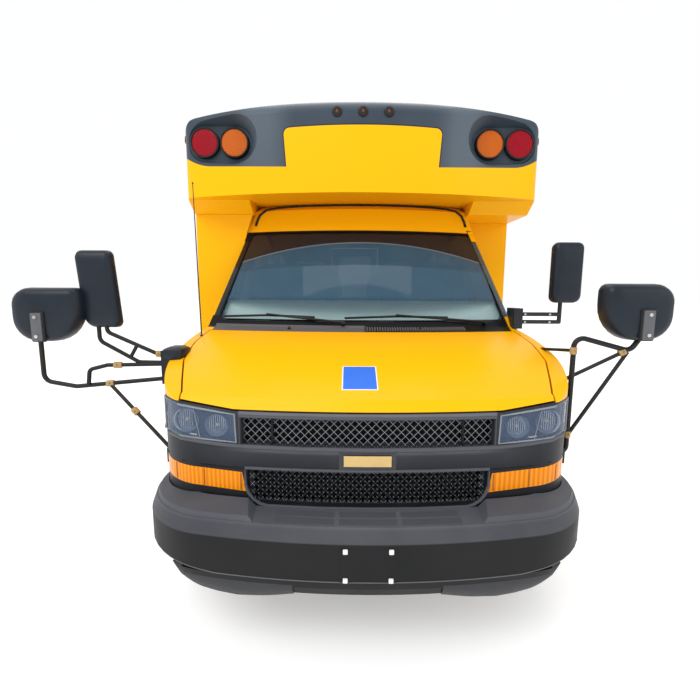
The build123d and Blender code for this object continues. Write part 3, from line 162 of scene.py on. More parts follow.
def finish(name, paint):
    """A material whose shader sockets come from paint(start)."""
    material = bpy.data.materials.new(name)
    material.use_nodes = True
    tree = material.node_tree
    tree.nodes.clear()
    start = Shade(tree)
    shader = start.node("ShaderNodeBsdfPrincipled", inputs=paint(start))
    start.node("ShaderNodeOutputMaterial", inputs={"Surface": shader})
    return material


def paint_sockets(start, colour):
    """Gloss coach paint with a faint orange peel, and road dust low down."""
    z = start.axes()[2]
    dust = z.fall(0.42, 0.95) * start.noise(6, 6).step(0.35, 0.85) * 0.28
    return {
        "Base Color": dust.mix(colour, ROAD_DUST),
        "Roughness": 0.26 + start.noise(3, 4) * 0.1 + dust * 0.45,
        "Specular IOR Level": 0.08,
        "Coat Weight": 0.035 - dust * 0.035,
        "Coat Roughness": 0.08,
        "Normal": start.bump(start.noise(240, 2), 0.05, 0.002),
    }


def bus_yellow(start):
    """Yellow body paint, with grey lining panels on the inner half of the body's walls and roof."""
    x, y, z = start.axes()
    under_roof = (z + x * x * 0.0505).fall(2.733, 2.737)
    lined = abs(x).fall(1.192, 1.196) * z.step(0.875, 0.88) * under_roof
    lined = lined * y.between(at(2.5), at(2.505), BACK_WALL - 0.004, BACK_WALL)
    roof_edge = z.step(2.55, 2.553) * abs(x).step(1.12, 1.124)
    lined = lined * (1 - roof_edge)
    shade = start.noise(1.4, 3).mix(YELLOW, YELLOW_DEEP)
    yellow = (start.noise(0.9, 2) * 0.35).mix(YELLOW, shade)
    lining = start.noise(40, 3).mix((0.24, 0.245, 0.24), (0.28, 0.285, 0.275))
    return paint_sockets(start, lined.mix(yellow, lining))


def cap_paint(start):
    """Yellow cap with a dark panel across its brow, open around the blank sign in the middle. The panel's grey
    carries a painted sheen, lighter in a band inboard of the warning lamps, and a random mottle.
    """
    x, y, z = start.axes()
    side = abs(x)
    outer = (side - 1.02).most(0)
    foot = 2.339 + x * x * 0.038 + outer * outer * 1.6
    front = (y - (at(1.33) + x * x / 7.286)).fall(0.15, 0.158)
    pod = (y - at(1.545)).fall(0.0, 0.004) * side.step(0.7, 0.71) * z.step(2.42, 2.425)
    slope = side - 0.494 - (z - 2.36) * 0.074
    arch = z - 2.594 + x * x * 0.04
    over, above = (slope + 0.04).most(0), (arch + 0.04).most(0)
    corner = (over * over + above * above).math("POWER", 0.5)
    dark = z.step(foot - 0.004, foot + 0.004) * front.most(pod) * corner.step(0.038, 0.042)
    line = corner.between(0.04, 0.042, 0.046, 0.048)
    # painted sheen: the dark panel is lighter in a soft band inboard of the warning lamps, plus a random
    # mottle
    painted_sheen_and_mottle = abs(side - 0.66).fall(0.03, 0.24) * 0.75 + start.noise(2.5, 3) * 0.5
    grey = painted_sheen_and_mottle.mix((0.028, 0.041, 0.057), (0.082, 0.106, 0.132))
    sockets = paint_sockets(start, dark.mix(YELLOW, (line * 0.8).mix(grey, BLACK)))
    sockets["Coat Weight"] = 0.035 + dark * 0.12
    return sockets


def cab_paint(start):
    """Yellow cab with gloss black posts and reveal around the windshield, and the cowl's dark panel."""
    x, y, z = start.axes()
    back = y - at(CAB_BOW_CENTRE)
    reach = (x * x + back * back).math("POWER", 0.5)
    ahead_of_screen = reach - (2.92 - (z - 1.33) * 0.7963)
    screen_height = z.between(1.318, 1.322, 1.98, 1.988)
    beside = (abs(x) + (z - SCREEN_FOOT_Z) * SCREEN_LEAN).fall(0.946, 0.948)
    post = ahead_of_screen.step(-0.022, -0.016) * screen_height
    reveal = ahead_of_screen.step(-0.09, -0.084) * screen_height * beside
    cowl = reach.step(2.86, 2.865) * z.between(1.298, 1.302, 1.34, 1.344)
    cowl = cowl * abs(x).fall(0.946, 0.95) * y.step(at(0.99), at(0.995))
    yellow = (start.noise(0.9, 2) * 0.35).mix(YELLOW, YELLOW_DEEP)
    panel = x.fall(0.0, 0.03).mix((0.01, 0.01, 0.011), (0.105, 0.098, 0.105))
    return paint_sockets(start, cowl.mix(post.most(reveal).mix(yellow, BLACK), panel))


def grille_paint(start):
    """Grained dark plastic, paler on its cross bar, with a painted highlight along the bar's top edge and
    painted highlights as bright lines along the wires in the two mesh openings.
    """
    x, _, z = start.axes()
    side = abs(x)
    upper = z.between(0.914, 0.918, 1.028, 1.032)
    lower = z.between(0.664, 0.668, 0.804, 0.808) * side.fall(0.5, 0.503)
    mesh = upper.most(lower) * side.fall(0.522, 0.526)
    worn = start.noise(4, 5).step(0.35, 0.8)
    base = worn.mix((0.01, 0.011, 0.014), (0.018, 0.019, 0.022))
    bar = z.step(0.8, 0.902) * (1 - side.step(0.55, 0.8) * 0.6)
    base = bar.mix(base, worn.mix((0.026, 0.029, 0.036), (0.036, 0.039, 0.046)))
    # painted highlight along the top edge of the cross bar, strongest in the middle
    painted_crest_highlight = z.between(0.876, 0.902, 0.91, 0.914) * side.fall(0.44, 0.64)
    base = (painted_crest_highlight * 0.8).mix(base, (0.115, 0.12, 0.135))
    strip = z.step(1.034, 1.037) * side.fall(0.536, 0.54)
    base = strip.mix(base, (0.12, 0.125, 0.14))
    # painted highlights: a bright line along the middle of each wire of the near-black mesh
    row = ((z - MESH_MIDDLE_Z[0]) * upper + (z - MESH_MIDDLE_Z[1]) * lower) / MESH_PITCH
    column = x / MESH_PITCH
    near = [lean.math("PINGPONG", 0.5) for lean in (column + row, column - row)]
    painted_wire_highlight = near[0].math("MINIMUM", near[1]).fall(0.018, 0.034)
    return {
        "Base Color": mesh.mix(base, painted_wire_highlight.mix((0.012, 0.013, 0.016), (0.3, 0.31, 0.33))),
        "Roughness": 0.42 + worn * 0.14,
        "Specular IOR Level": 0.16,
        "Normal": start.bump(start.cells(420), 0.14, 0.001),
    }


def bumper_paint(start):
    """Grey moulded bumper, with painted highlights making its upper shelf and the band above its feature line
    paler, and darker under the seam.
    """
    z = start.axes()[2]
    worn = start.noise(3, 5).step(0.3, 0.8)
    face = worn.mix((0.009, 0.0093, 0.01), (0.015, 0.015, 0.016))
    # painted highlights: the upward-facing band above the feature line and the top shelf are paler than the
    # face
    slope = worn.mix((0.05, 0.053, 0.062), (0.068, 0.071, 0.08))
    painted_shelf_highlight = worn.mix((0.07, 0.074, 0.086), (0.095, 0.098, 0.108))
    face = z.step(0.63, 0.65).mix(z.step(0.583, 0.59).mix(face, slope), painted_shelf_highlight)
    return {
        "Base Color": z.fall(0.424, 0.43).mix(face, (0.013, 0.0135, 0.015)),
        "Roughness": 0.45 + worn * 0.16,
        "Specular IOR Level": 0.14,
        "Normal": start.bump(start.cells(420), 0.16, 0.001),
    }


def screen_glass(start):
    """Tinted glass; the windshield has a black printed border, and across its top a painted dark reflection of
    the cap's underside with an arched edge and a painted light line along that edge.
    """
    x, y, z = start.axes()
    film = start.noise(5, 4)
    windshield = y.fall(at(1.86), at(1.865))
    border = abs(x) - (0.938 - (z - SCREEN_FOOT_Z) * SCREEN_LEAN) + 0.008
    edge = border.step(-0.002, 0.002).most(z.fall(1.372, 1.376)).most(z.step(1.95, 1.954))
    # painted reflection: shade marks the dark band across the windshield's top that stands for the cap's
    # underside seen in the glass, and line a painted light edge along its arch
    arch = z - 1.885 + x * x * 0.19
    shade = arch.step(-0.003, 0.003)
    line = shade * arch.fall(0.008, 0.011)
    black, dim = windshield * edge, windshield * shade
    low = windshield * z.fall(1.46, 1.53)
    colour = film.mix((0.024, 0.076, 0.13), (0.045, 0.108, 0.162))
    colour = dim.mix(colour, (0.012, 0.014, 0.018))
    colour = (windshield * line * 0.8).mix(colour, (0.14, 0.17, 0.19))
    return {
        "Base Color": black.mix(colour, BLACK),
        "Roughness": 0.02 + film * 0.03 + black * 0.05,
        "Alpha": (0.66 + film * 0.06 - low * 0.48 + dim * 0.24).most(black),
        "Specular IOR Level": 0.35,
    }


def diodes(start, glow, colour, deep, bright):
    """Rows of small bright diodes in a lens, as their relief and their colour."""
    x, y, z = start.axes()
    turn = 2 * pi / DIODE_PITCH
    dots = (z * turn).math("COSINE") * ((x + y) * turn).math("COSINE")
    return dots, (dots.step(0.35, 0.85) * 0.55).mix(glow.mix(colour, deep), bright)


def lens_sockets(glow, colour, relief):
    return {
        "Base Color": colour,
        "Roughness": 0.1 + glow * 0.08,
        "Specular IOR Level": 0.1,
        "Coat Weight": 0.03,
        "Normal": glow.bump(relief, 0.25, 0.002),
    }


def red_lens(start):
    glow = start.noise(20, 3)
    colours = ((0.27, 0.004, 0.013), (0.2, 0.002, 0.008), (0.42, 0.009, 0.024))
    dots, colour = diodes(start, glow, *colours)
    return lens_sockets(glow, colour, dots)


def amber_plastic(start):
    """Orange lamps over the road, with yellower fluted turn lamps beside the lower grille."""
    x, y, z = start.axes()
    glow = start.noise(20, 3)
    colours = ((0.5, 0.105, 0.012), (0.42, 0.08, 0.008), (0.74, 0.22, 0.02))
    dots, lamp = diodes(start, glow, *colours)
    waves = ((x - y * 0.35) * (2 * pi / FLUTE_PITCH)).math("SINE")
    fluted = glow.mix((0.7, 0.2, 0.003), (0.64, 0.17, 0.002))
    fluted = waves.step(-0.9, 0.9).mix(fluted, (0.84, 0.28, 0.005))
    turn = z.fall(0.98, 1.0) * y.fall(-1.0, -0.9)
    return lens_sockets(glow, turn.mix(lamp, fluted), turn * waves + (1 - turn) * dots)


def floor_rubber(start):
    """Ribbed aisle covering."""
    x = start.axes()[0]
    scuff = start.noise(8, 5).step(0.4, 0.8)
    return {
        "Base Color": scuff.mix((0.022, 0.022, 0.023), (0.07, 0.068, 0.063)),
        "Roughness": 0.65 + scuff * 0.2,
        "Normal": start.bump((x * 180).math("SINE"), 0.3, 0.002),
    }


def pale_floor(start):
    """A matt white studio floor, lit a little from below so that shadows stay soft."""
    return {
        "Base Color": (start.noise(2, 3) * 0.3).mix((0.86, 0.86, 0.86), (0.84, 0.84, 0.84)),
        "Roughness": 0.7,
        "Specular IOR Level": 0.1,
        "Emission Color": (1.0, 1.0, 1.0, 1),
        "Emission Strength": 0.32,
    }


def surface(clean, worn, wear, rough, specular=None, metal=None, solid=None, bump=None):
    """A finish that goes from a clean to a worn colour over a noise.

    wear is the noise's scale and detail, then the limits of a step if the change is sharp. rough, metal and
    solid are each a value and what the wear adds to it, and rough may go on with a noise of its own. bump is a
    scale, a detail (None for pebbled grain), a strength and a distance.
    """

    def sockets(start):
        pattern = start.noise(*wear[:2])
        if len(wear) > 2:
            pattern = pattern.step(*wear[2:])
        rub = start.noise(*rough[2:]) if len(rough) > 2 else pattern
        made = {"Base Color": pattern.mix(clean, worn), "Roughness": rough[0] + rub * rough[1]}
        for name, pair in (("Metallic", metal), ("Alpha", solid)):
            if pair:
                made[name] = pair[0] + pattern * pair[1]
        if specular:
            made["Specular IOR Level"] = specular
        if bump:
            scale, detail, *strength = bump
            relief = start.noise(scale, detail) if detail else start.cells(scale)
            made["Normal"] = start.bump(relief, *strength)
        return made

    return sockets


def plain(*values):
    """A satin finish with a slight mottle, from red, green, blue and roughness."""
    *colour, rough = values
    mottled = [part * 0.846 for part in colour]
    return surface(colour, mottled, (24, 4), (rough, 0.12), 0.3, bump=(300, 2, 0.05, 0.001))


PAINTS = {
    paint.__name__: paint
    for paint in (
        bus_yellow, cap_paint, cab_paint, grille_paint, bumper_paint, screen_glass, red_lens, amber_plastic,
        floor_rubber,
    )
}
SURFACES = {
    "dark_moulding": surface(
        (0.007, 0.0075, 0.009), (0.014, 0.0145, 0.017), (4, 5, 0.35, 0.8), (0.46, 0.14), 0.14,
        bump=(420, None, 0.16, 0.001),
    ),
    "black_plastic": surface(
        (0.006, 0.008, 0.012), (0.014, 0.018, 0.025), (9, 4), (0.3, 0.2), 0.35, bump=(500, 2, 0.06, 0.001)
    ),
    "mirror_black": surface(
        (0.006, 0.01, 0.017), (0.013, 0.02, 0.03), (9, 4), (0.26, 0.2), 0.24, bump=(500, 2, 0.04, 0.001)
    ),
    "black_metal": surface(
        (0.007, 0.007, 0.008), (0.03, 0.027, 0.024), (60, 6, 0.66, 0.72), (0.34, 0.18, 12, 3), 0.3,
        bump=(180, 2, 0.05, 0.001),
    ),
    "clear_glass": surface(
        (0.045, 0.075, 0.09), (0.065, 0.1, 0.115), (5, 4), (0.02, 0.03), 0.4, solid=(0.62, 0.06)
    ),
    "lamp_glass": surface(
        (0.055, 0.09, 0.16), (0.085, 0.125, 0.2), (30, 3), (0.03, 0.03), 0.3, solid=(0.5, 0.08)
    ),
    "chrome": surface((0.72, 0.74, 0.77), (0.72, 0.74, 0.77), (40, 3), (0.07, 0.08), metal=(1.0, 0.0)),
    "bright_steel": surface(
        (0.52, 0.53, 0.54), (0.22, 0.19, 0.16), (14, 5, 0.4, 0.75), (0.34, 0.3), metal=(0.55, -0.3),
        bump=(150, 3, 0.08, 0.001),
    ),
    "chassis_black": surface(
        (0.01, 0.01, 0.011), (0.07, 0.06, 0.05), (5, 6, 0.35, 0.8), (0.5, 0.3), bump=(90, 4, 0.2, 0.002)
    ),
    "cast_iron": surface(
        (0.045, 0.045, 0.047), (0.14, 0.065, 0.03), (18, 6, 0.5, 0.75), (0.6, 0.25), metal=(0.5, -0.5),
        bump=(220, 4, 0.3, 0.001),
    ),
    "bare_steel": surface(
        (0.34, 0.33, 0.31), (0.16, 0.1, 0.07), (4, 5, 0.4, 0.75), (0.4, 0.3), metal=(0.8, -0.4),
        bump=(60, 4, 0.1, 0.001),
    ),
    "tyre_rubber": surface(
        (0.012, 0.012, 0.012), (0.05, 0.046, 0.04), (16, 6, 0.4, 0.8), (0.72, 0.2), bump=(350, 3, 0.15, 0.001)
    ),
    "seat_vinyl": surface(
        (0.02, 0.03, 0.062), (0.042, 0.055, 0.095), (7, 4, 0.4, 0.8), (0.38, 0.2),
        bump=(260, None, 0.25, 0.001),
    ),
    "dash_plastic": surface(
        (0.58, 0.8, 0.77), (0.66, 0.88, 0.84), (5, 3), (0.55, 0.15, 11, 3), bump=(380, None, 0.2, 0.001)
    ),
}
PLAIN = {
    "marker_amber": (0.72, 0.24, 0.02, 0.2),
    "marker_dim": (0.14, 0.042, 0.01, 0.2),
    "marker_red": (0.45, 0.01, 0.018, 0.2),
    "bar_grey": (0.04, 0.043, 0.05, 0.42),
    "seal_rubber": (0.012, 0.012, 0.013, 0.55),
    "stop_red": (0.5, 0.012, 0.018, 0.35),
    "lamp_tray": (0.08, 0.105, 0.145, 0.25),
    "lamp_bowl": (0.26, 0.31, 0.38, 0.14),
    "lamp_bulb": (0.86, 0.8, 0.55, 0.15),
    "lamp_edge": (0.22, 0.24, 0.26, 0.3),
    "turn_edge": (0.42, 0.13, 0.01, 0.3),
    "pad_gold": (0.62, 0.43, 0.17, 0.35),
    "rib_grey": (0.135, 0.125, 0.13, 0.5),
    "dam_grey": (0.034, 0.035, 0.038, 0.5),
    "moulding_edge": (0.07, 0.074, 0.086, 0.42),
    "grille_backing": (0.01, 0.011, 0.014, 0.6),
    "seam_line": (0.012, 0.012, 0.014, 0.6),
    "seam_edge": (0.115, 0.112, 0.105, 0.5),
    "white_trim": (0.8, 0.8, 0.78, 0.4),
    "plaque_blue": (0.006, 0.15, 0.72, 0.3),
    "window_alloy": (0.025, 0.026, 0.028, 0.4),
    "bracket_grey": (0.1, 0.105, 0.115, 0.4),
    "clamp_brass": (0.42, 0.27, 0.11, 0.45),
}
PAINTS |= SURFACES | {name: plain(*values) for name, values in PLAIN.items()} | {"rail_yellow": bus_yellow}
FINISHES = {name: finish(name, paint) for name, paint in PAINTS.items()}

NODE_FINISH = {
    "cab_paint": "cab_shell",
    "bus_yellow": "hood driver_door roof side_wall_left side_wall_right rear_wall entry_door_front "
    "entry_door_rear lift_door rear_door",
    "cap_paint": "front_cap",
    "screen_glass": "windows",
    "clear_glass": "driver_door_glass entry_door_front_glass entry_door_rear_glass lift_door_glass "
    "rear_door_glass",
    "grille_paint": "grille_frame",
    "bumper_paint": "front_bumper",
    "red_lens": "red_lamps",
    "amber_plastic": "amber_lamps",
    "lamp_glass": "headlamps",
    "black_metal": "mirror_arms wipers rear_bumper",
    "black_plastic": "mirror_heads driver_mirror steering_wheel",
    "chassis_black": "frame_rails front_axle rear_axle",
    "cast_iron": "engine knuckle_left knuckle_right",
    "bare_steel": "exhaust fuel_tank",
    "dash_plastic": "dashboard",
    "seat_vinyl": "seats",
    "floor_rubber": "floor",
    "stop_red": "stop_arm",
    "tyre_rubber": "front_tyre_left front_tyre_right rear_tyres_left rear_tyres_right",
    "bright_steel": "front_rim_left front_rim_right rear_rims_left rear_rims_right",
}
for look, names in NODE_FINISH.items():
    for name in names.split():
        mesh = NODES[name].data
        mesh.materials.clear()
        mesh.materials.append(FINISHES[look])

# Modelling

SHARP_EDGE = radians(38)


def edges_of(made):
    """The edges of new vertices, each once and in a steady order."""
    return list(dict.fromkeys(edge for vert in made["verts"] for edge in vert.link_edges))


class Piece:
    """A mesh under construction, whose parts each take a finish as they are added."""

    def __init__(self, name, body=ROOT):
        self.name, self.body = name, body
        self.mesh = bmesh.new()
        self.painted = self.mesh.faces.layers.int.new("painted")
        self.finishes = []

    def paint(self, look):
        """Gives a look to the faces added since the last call, or leaves them for the next if it is None."""
        if look is None:
            return
        if look not in self.finishes:
            self.finishes.append(look)
        index = self.finishes.index(look)
        for face in self.mesh.faces:
            if not face[self.painted]:
                face.material_index, face[self.painted] = index, 1

    def soften(self, edges, width):
        settings = {"segments": 2, "offset_type": "OFFSET", "profile": 0.5, "affect": "EDGES", "material": -1}
        bmesh.ops.bevel(self.mesh, geom=edges, offset=width, **settings)

    def block(self, low, high, look, bevel, turn=None):
        """A box between two corners with softened edges, turned about its own middle."""
        low, high = Vector(low), Vector(high)
        middle = Matrix.Translation((low + high) / 2) @ (turn or Matrix())
        size = Matrix.Diagonal((*(high - low), 1))
        made = bmesh.ops.create_cube(self.mesh, size=1, matrix=middle @ size)
        self.soften(edges_of(made), bevel)
        self.paint(look)

    def side_block(self, side, depth, y, z, look, bevel):
        """A block on a side wall, from ranges of depth outside the wall's face, Y and Z."""
        x = sorted(side * (BODY_HALF + edge) for edge in depth)
        self.block(*zip(x, y, z), look, bevel)

    def rod(self, start, end, radius, look, sides=20, tip=None, bevel=0):
        """A round bar between two points, with another radius at its end if tip is given."""
        start, end = Vector(start), Vector(end)
        run = end - start
        place = Matrix.Translation((start + end) / 2) @ run.to_track_quat("Z", "Y").to_matrix().to_4x4()
        radii = {"radius1": radius, "radius2": radius if tip is None else tip}
        made = bmesh.ops.create_cone(
            self.mesh, cap_ends=True, segments=sides, depth=run.length, matrix=place, **radii
        )
        if bevel:
            edges = edges_of(made)
            rims = [edge for edge in edges if any(len(face.verts) > 4 for face in edge.link_faces)]
            self.soften(rims, bevel)
        self.paint(look)

    def pipe(self, points, radius, look, sides=8, closed=False):
        """A round bar through points."""
        points = [Vector(point) for point in points]
        count = len(points)
        rings = []
        for index, point in enumerate(points):
            before = points[index - 1] if index or closed else point
            after = points[(index + 1) % count] if index < count - 1 or closed else point
            turn = (after - before).to_track_quat("Z", "Y").to_matrix().to_4x4()
            made = bmesh.ops.create_circle(
                self.mesh, segments=sides, radius=radius, matrix=Matrix.Translation(point) @ turn,
                cap_ends=not closed and index in (0, count - 1),
            )
            rings.append(edges_of(made))
        for first, second in zip(rings, rings[1:] + rings[:1] if closed else rings[1:]):
            bmesh.ops.bridge_loops(self.mesh, edges=first + second)
        self.paint(look)

    def lathe(self, profile, centre, axis, look, steps=40):
        """A ring turned about an axis, from (radius, distance along the axis) points."""
        axis = Vector(axis).normalized()
        out = axis.orthogonal().normalized()
        centre = Vector(centre)
        verts = [self.mesh.verts.new(centre + out * radius + axis * along) for radius, along in profile]
        edges = [self.mesh.edges.new(pair) for pair in zip(verts, verts[1:])]
        bmesh.ops.spin(
            self.mesh, geom=verts + edges, cent=centre, axis=axis, angle=2 * pi, steps=steps, use_merge=True
        )
        self.paint(look)

    def sheet(self, columns, rows, place, look, thick):
        """A skin over place(u, v), with u and v from 0 to 1, given a thickness."""
        made = bmesh.ops.create_grid(self.mesh, x_segments=columns, y_segments=rows, size=0.5)
        for vert in made["verts"]:
            vert.co = place(vert.co.x + 0.5, vert.co.y + 0.5)
        faces = dict.fromkeys(face for vert in made["verts"] for face in vert.link_faces)
        bmesh.ops.solidify(self.mesh, geom=list(faces), thickness=thick)
        self.paint(look)

    def both_sides(self):
        """Adds the mirror image across the centre plane."""
        kept = list(self.mesh.verts) + list(self.mesh.edges) + list(self.mesh.faces)
        bmesh.ops.mirror(self.mesh, geom=kept, axis="X", merge_dist=-1)

    def done(self):
        """Writes the mesh to an object riding on its body."""
        bmesh.ops.remove_doubles(self.mesh, verts=self.mesh.verts, dist=1e-6)
        bmesh.ops.recalc_face_normals(self.mesh, faces=self.mesh.faces)
        for face in self.mesh.faces:
            face.smooth = True
        for edge in self.mesh.edges:
            edge.smooth = len(edge.link_faces) != 2 or edge.calc_face_angle(0) < SHARP_EDGE
        data = bpy.data.meshes.new(self.name)
        self.mesh.to_mesh(data)
        self.mesh.free()
        for look in self.finishes:
            data.materials.append(FINISHES[look])
        made = bpy.data.objects.new(self.name, data)
        bpy.context.collection.objects.link(made)
        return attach(made, self.body)


def tree_of(*names):
    """A search tree over the faces of solids."""
    verts, faces = [], []
    for name in names:
        mesh = NODES[name].data
        start = len(verts)
        verts += [vert.co.copy() for vert in mesh.vertices]
        faces += [[start + index for index in face.vertices] for face in mesh.polygons]
    return BVHTree.FromPolygons(verts, faces)


def hit(tree, origin, direction):
    """The first point of the solids from a point along a direction, and the way its face looks."""
    place, normal, _, _ = tree.ray_cast(Vector(origin), Vector(direction).normalized())
    return place, normal


def about(middle, half):
    return middle - half, middle + half


def inset(limits, margin):
    return limits[0] + margin, limits[1] - margin


def rounded(u, v, radii, steps=5):
    """Points of a rounded rectangle over ranges of u and v.

    The corner radii go round from the corner where both are high, by the one where u is low.
    """
    points = []
    for index, (radius, right, top) in enumerate(zip(radii, (1, 0, 0, 1), (1, 1, 0, 0))):
        middle_u = u[1] - radius if right else u[0] + radius
        middle_v = v[1] - radius if top else v[0] + radius
        for step in range(steps):
            turn = radians(90 * (index + step / (steps - 1)))
            points.append((middle_u + radius * cos(turn), middle_v + radius * sin(turn)))
    return points


# Front of the bus

CAP = tree_of("front_cap")
CAB = tree_of("cab_shell", "hood", "windows")
HOOD = tree_of("hood")
BUMPER = tree_of("front_bumper")
GRILLE = tree_of("grille_frame")
HEADLAMPS = tree_of("headlamps")
TURN_LAMPS = tree_of("amber_lamps")
FORWARD = Vector((0, -1, 0))
BACK = Vector((0, 1, 0))
DOWN = Vector((0, 0, -1))


def ahead(tree, x, z, lift=0):
    """The point of a front face at X and Z, seen from ahead, moved out by lift."""
    place, normal = hit(tree, (x, NOSE - 1, z), BACK)
    if place is None:
        place, normal, _, _ = tree.find_nearest((x, at(0.2 + x * x * 0.15), z))
    return place + normal * lift


def trace(piece, tree, points, lift, radius, look, sides=8, closed=False):
    """A bead on a front face along X and Z points."""
    piece.pipe([ahead(tree, x, z, lift) for x, z in points], radius, look, sides, closed)


def across(points):
    """X and Z points from the +X end in to the middle, led by their mirror images from the -X end."""
    return [(-x, z) for x, z in points[:-1]] + list(points[::-1])


def warning_lamps():
    """Bezels around the four lamps of the cap and the four of the rear wall, with their reflector ribs."""
    piece = Piece("lamp_bezels")
    ring = ((0.087, 0.027), (0.088, 0.034), (0.092, 0.036), (0.097, 0.032), (0.099, 0.004), (0.099, -0.002))
    for x in (RED_X, AMBER_X):
        piece.lathe(ring, (x, LAMP_PLANE, LAMP_Z), FORWARD, "seal_rubber")
        for turn in range(8):
            around = Vector((cos(turn * pi / 4), 0, sin(turn * pi / 4)))
            start = Vector((x, LAMP_PLANE - 0.027, LAMP_Z)) + around * 0.076
            piece.rod(start, start + around * 0.012, 0.0035, "seal_rubber", 8)
        piece.lathe(ring, (x - 0.06, BODY_BACK + 0.004, 2.48), BACK, "seal_rubber")
    piece.both_sides()
    piece.done()


def clearance_lamps():
    """Small marker lamps: three over the sign, one on each corner, and three along the back."""
    piece = Piece("marker_lamps")
    dome = ((0.0, 0.016), (0.01, 0.0145), (0.019, 0.009), (0.022, 0.003))
    small_dome = [(radius * 0.62, along) for radius, along in dome]
    base = ((0.022, 0.006), (0.027, 0.007), (0.033, 0.004), (0.035, -0.006))
    wide_base = ((0.013, 0.01), (0.017, 0.012), (0.03, 0.008), (0.034, -0.006))
    for x in (-0.164, 0.0, 0.164):
        front = hit(CAP, (x, NOSE - 1, 2.672), BACK)
        back = ((x, BODY_BACK, 2.63), BACK)
        for profile, place, look in (
            (wide_base, front, "seal_rubber"), (small_dome, front, "marker_dim"),
            (base, back, "seal_rubber"), (dome, back, "marker_red"),
        ):
            piece.lathe(profile, *place, look, 28)
    for side in (1, -1):
        piece.side_block(side, (-0.012, 0.012), (at(1.6), at(1.68)), (2.565, 2.615), "seal_rubber", 0.005)
        piece.side_block(side, (-0.02, 0.02), (at(1.612), at(1.668)), (2.575, 2.605), "marker_amber", 0.006)
    piece.done()


def brow_gasket():
    """The seal where the cap sits on the cab roof."""
    piece = Piece("brow_gasket")
    brow = (
        (0.782, 2.03), (0.772, 2.07), (0.752, 2.112), (0.71, 2.142), (0.64, 2.16), (0.5, 2.168), (0.25, 2.171),
        (0.0, 2.172),
    )
    trace(piece, CAB, across(brow), 0.003, 0.0095, "seal_rubber", 10)
    piece.done()


def cowl():
    """Ribbed air inlet under the windshield, and the washer jets."""
    piece = Piece("cowl_inlet")

    def place(x, station, lift):
        reach = sqrt((CAB_BOW_CENTRE - station) ** 2 - x * x)
        z = 1.31 + (station - 1.01) / 0.07 * 0.02
        return Vector((x, at(CAB_BOW_CENTRE) - reach, z + lift))

    for index in range(40):
        x = 0.03 + index * 0.0155
        piece.rod(place(x, 1.022, 0.004), place(x, 1.074, 0.004), 0.0042, "rib_grey", 6)
    for x in (-0.45, 0.35):
        jet = place(x, 1.045, 0.0)
        piece.rod(jet, jet + Vector((0, 0.012, 0.014)), 0.011, "black_plastic", 12, tip=0.007, bevel=0.002)
    piece.done()


def headlamps():
    """Reflector bowls, bulbs and the smoked tray behind each headlamp's lens, and the frame around it."""
    piece = Piece("headlamp_reflectors")

    def tray(u, v):
        x = 0.562 + u * 0.405
        low, high = 0.93 + (x - 0.546) * 0.034, 1.038 + (x - 0.551) * 0.1
        return ahead(HEADLAMPS, x, low + (high - low) * v) + Vector((0, 0.036, 0))

    piece.sheet(16, 8, tray, "lamp_tray", 0.002)
    bowl = (
        (0.01, 0.0), (0.022, 0.003), (0.036, 0.011), (0.046, 0.022), (0.05, 0.034), (0.053, 0.035),
        (0.053, 0.03),
    )
    bulb = ((0.0, 0.026), (0.006, 0.024), (0.009, 0.018), (0.009, 0.0))
    for x, z, size in ((0.64, 0.986, 0.92), (0.78, 1.0, 1.0)):
        centre = ahead(HEADLAMPS, x, z) + Vector((0, 0.046, 0))
        for profile, look, steps in ((bowl, "lamp_bowl", 40), (bulb, "lamp_bulb", 20)):
            scaled = [(radius * size, along * size) for radius, along in profile]
            piece.lathe(scaled, centre, FORWARD, look, steps)
        for flute in range(-4, 5):
            offset = flute * 0.0095 * size
            drop = sqrt(max((0.046 * size) ** 2 - offset**2, 0.0))
            start = centre + Vector((offset, -0.016, -drop))
            piece.rod(start, start + Vector((0, 0, 2 * drop)), 0.0024, "chrome", 6)
    piece.both_sides()
    piece.done()

    piece = Piece("headlamp_frames")
    border = (
        (0.55, 0.924), (0.62, 0.926), (0.7, 0.929), (0.8, 0.932), (0.9, 0.9355), (0.955, 0.937),
        (0.955, 1.084), (0.9, 1.078), (0.8, 1.068), (0.7, 1.058), (0.62, 1.05), (0.555, 1.043),
    )
    trace(piece, HEADLAMPS, border, 0.0015, 0.004, "lamp_edge", closed=True)
    split = [(0.712 + 0.004 * step, 0.935 + 0.02 * step) for step in range(7)]
    trace(piece, HEADLAMPS, split, 0.0015, 0.002, "lamp_edge", 6)
    piece.both_sides()
    piece.done()


def turn_lamp_ribs():
    """The moulded divisions inside each turn lamp's lens."""
    piece = Piece("turn_lamp_ribs")
    for x, low, high in ((0.535, 0.716, 0.79), (0.7, 0.722, 0.796), (0.84, 0.727, 0.8)):
        points = [(x, low + (high - low) * step / 5) for step in range(6)]
        trace(piece, TURN_LAMPS, points, 0.0005, 0.003, "turn_edge", 6)
    piece.both_sides()
    piece.done()


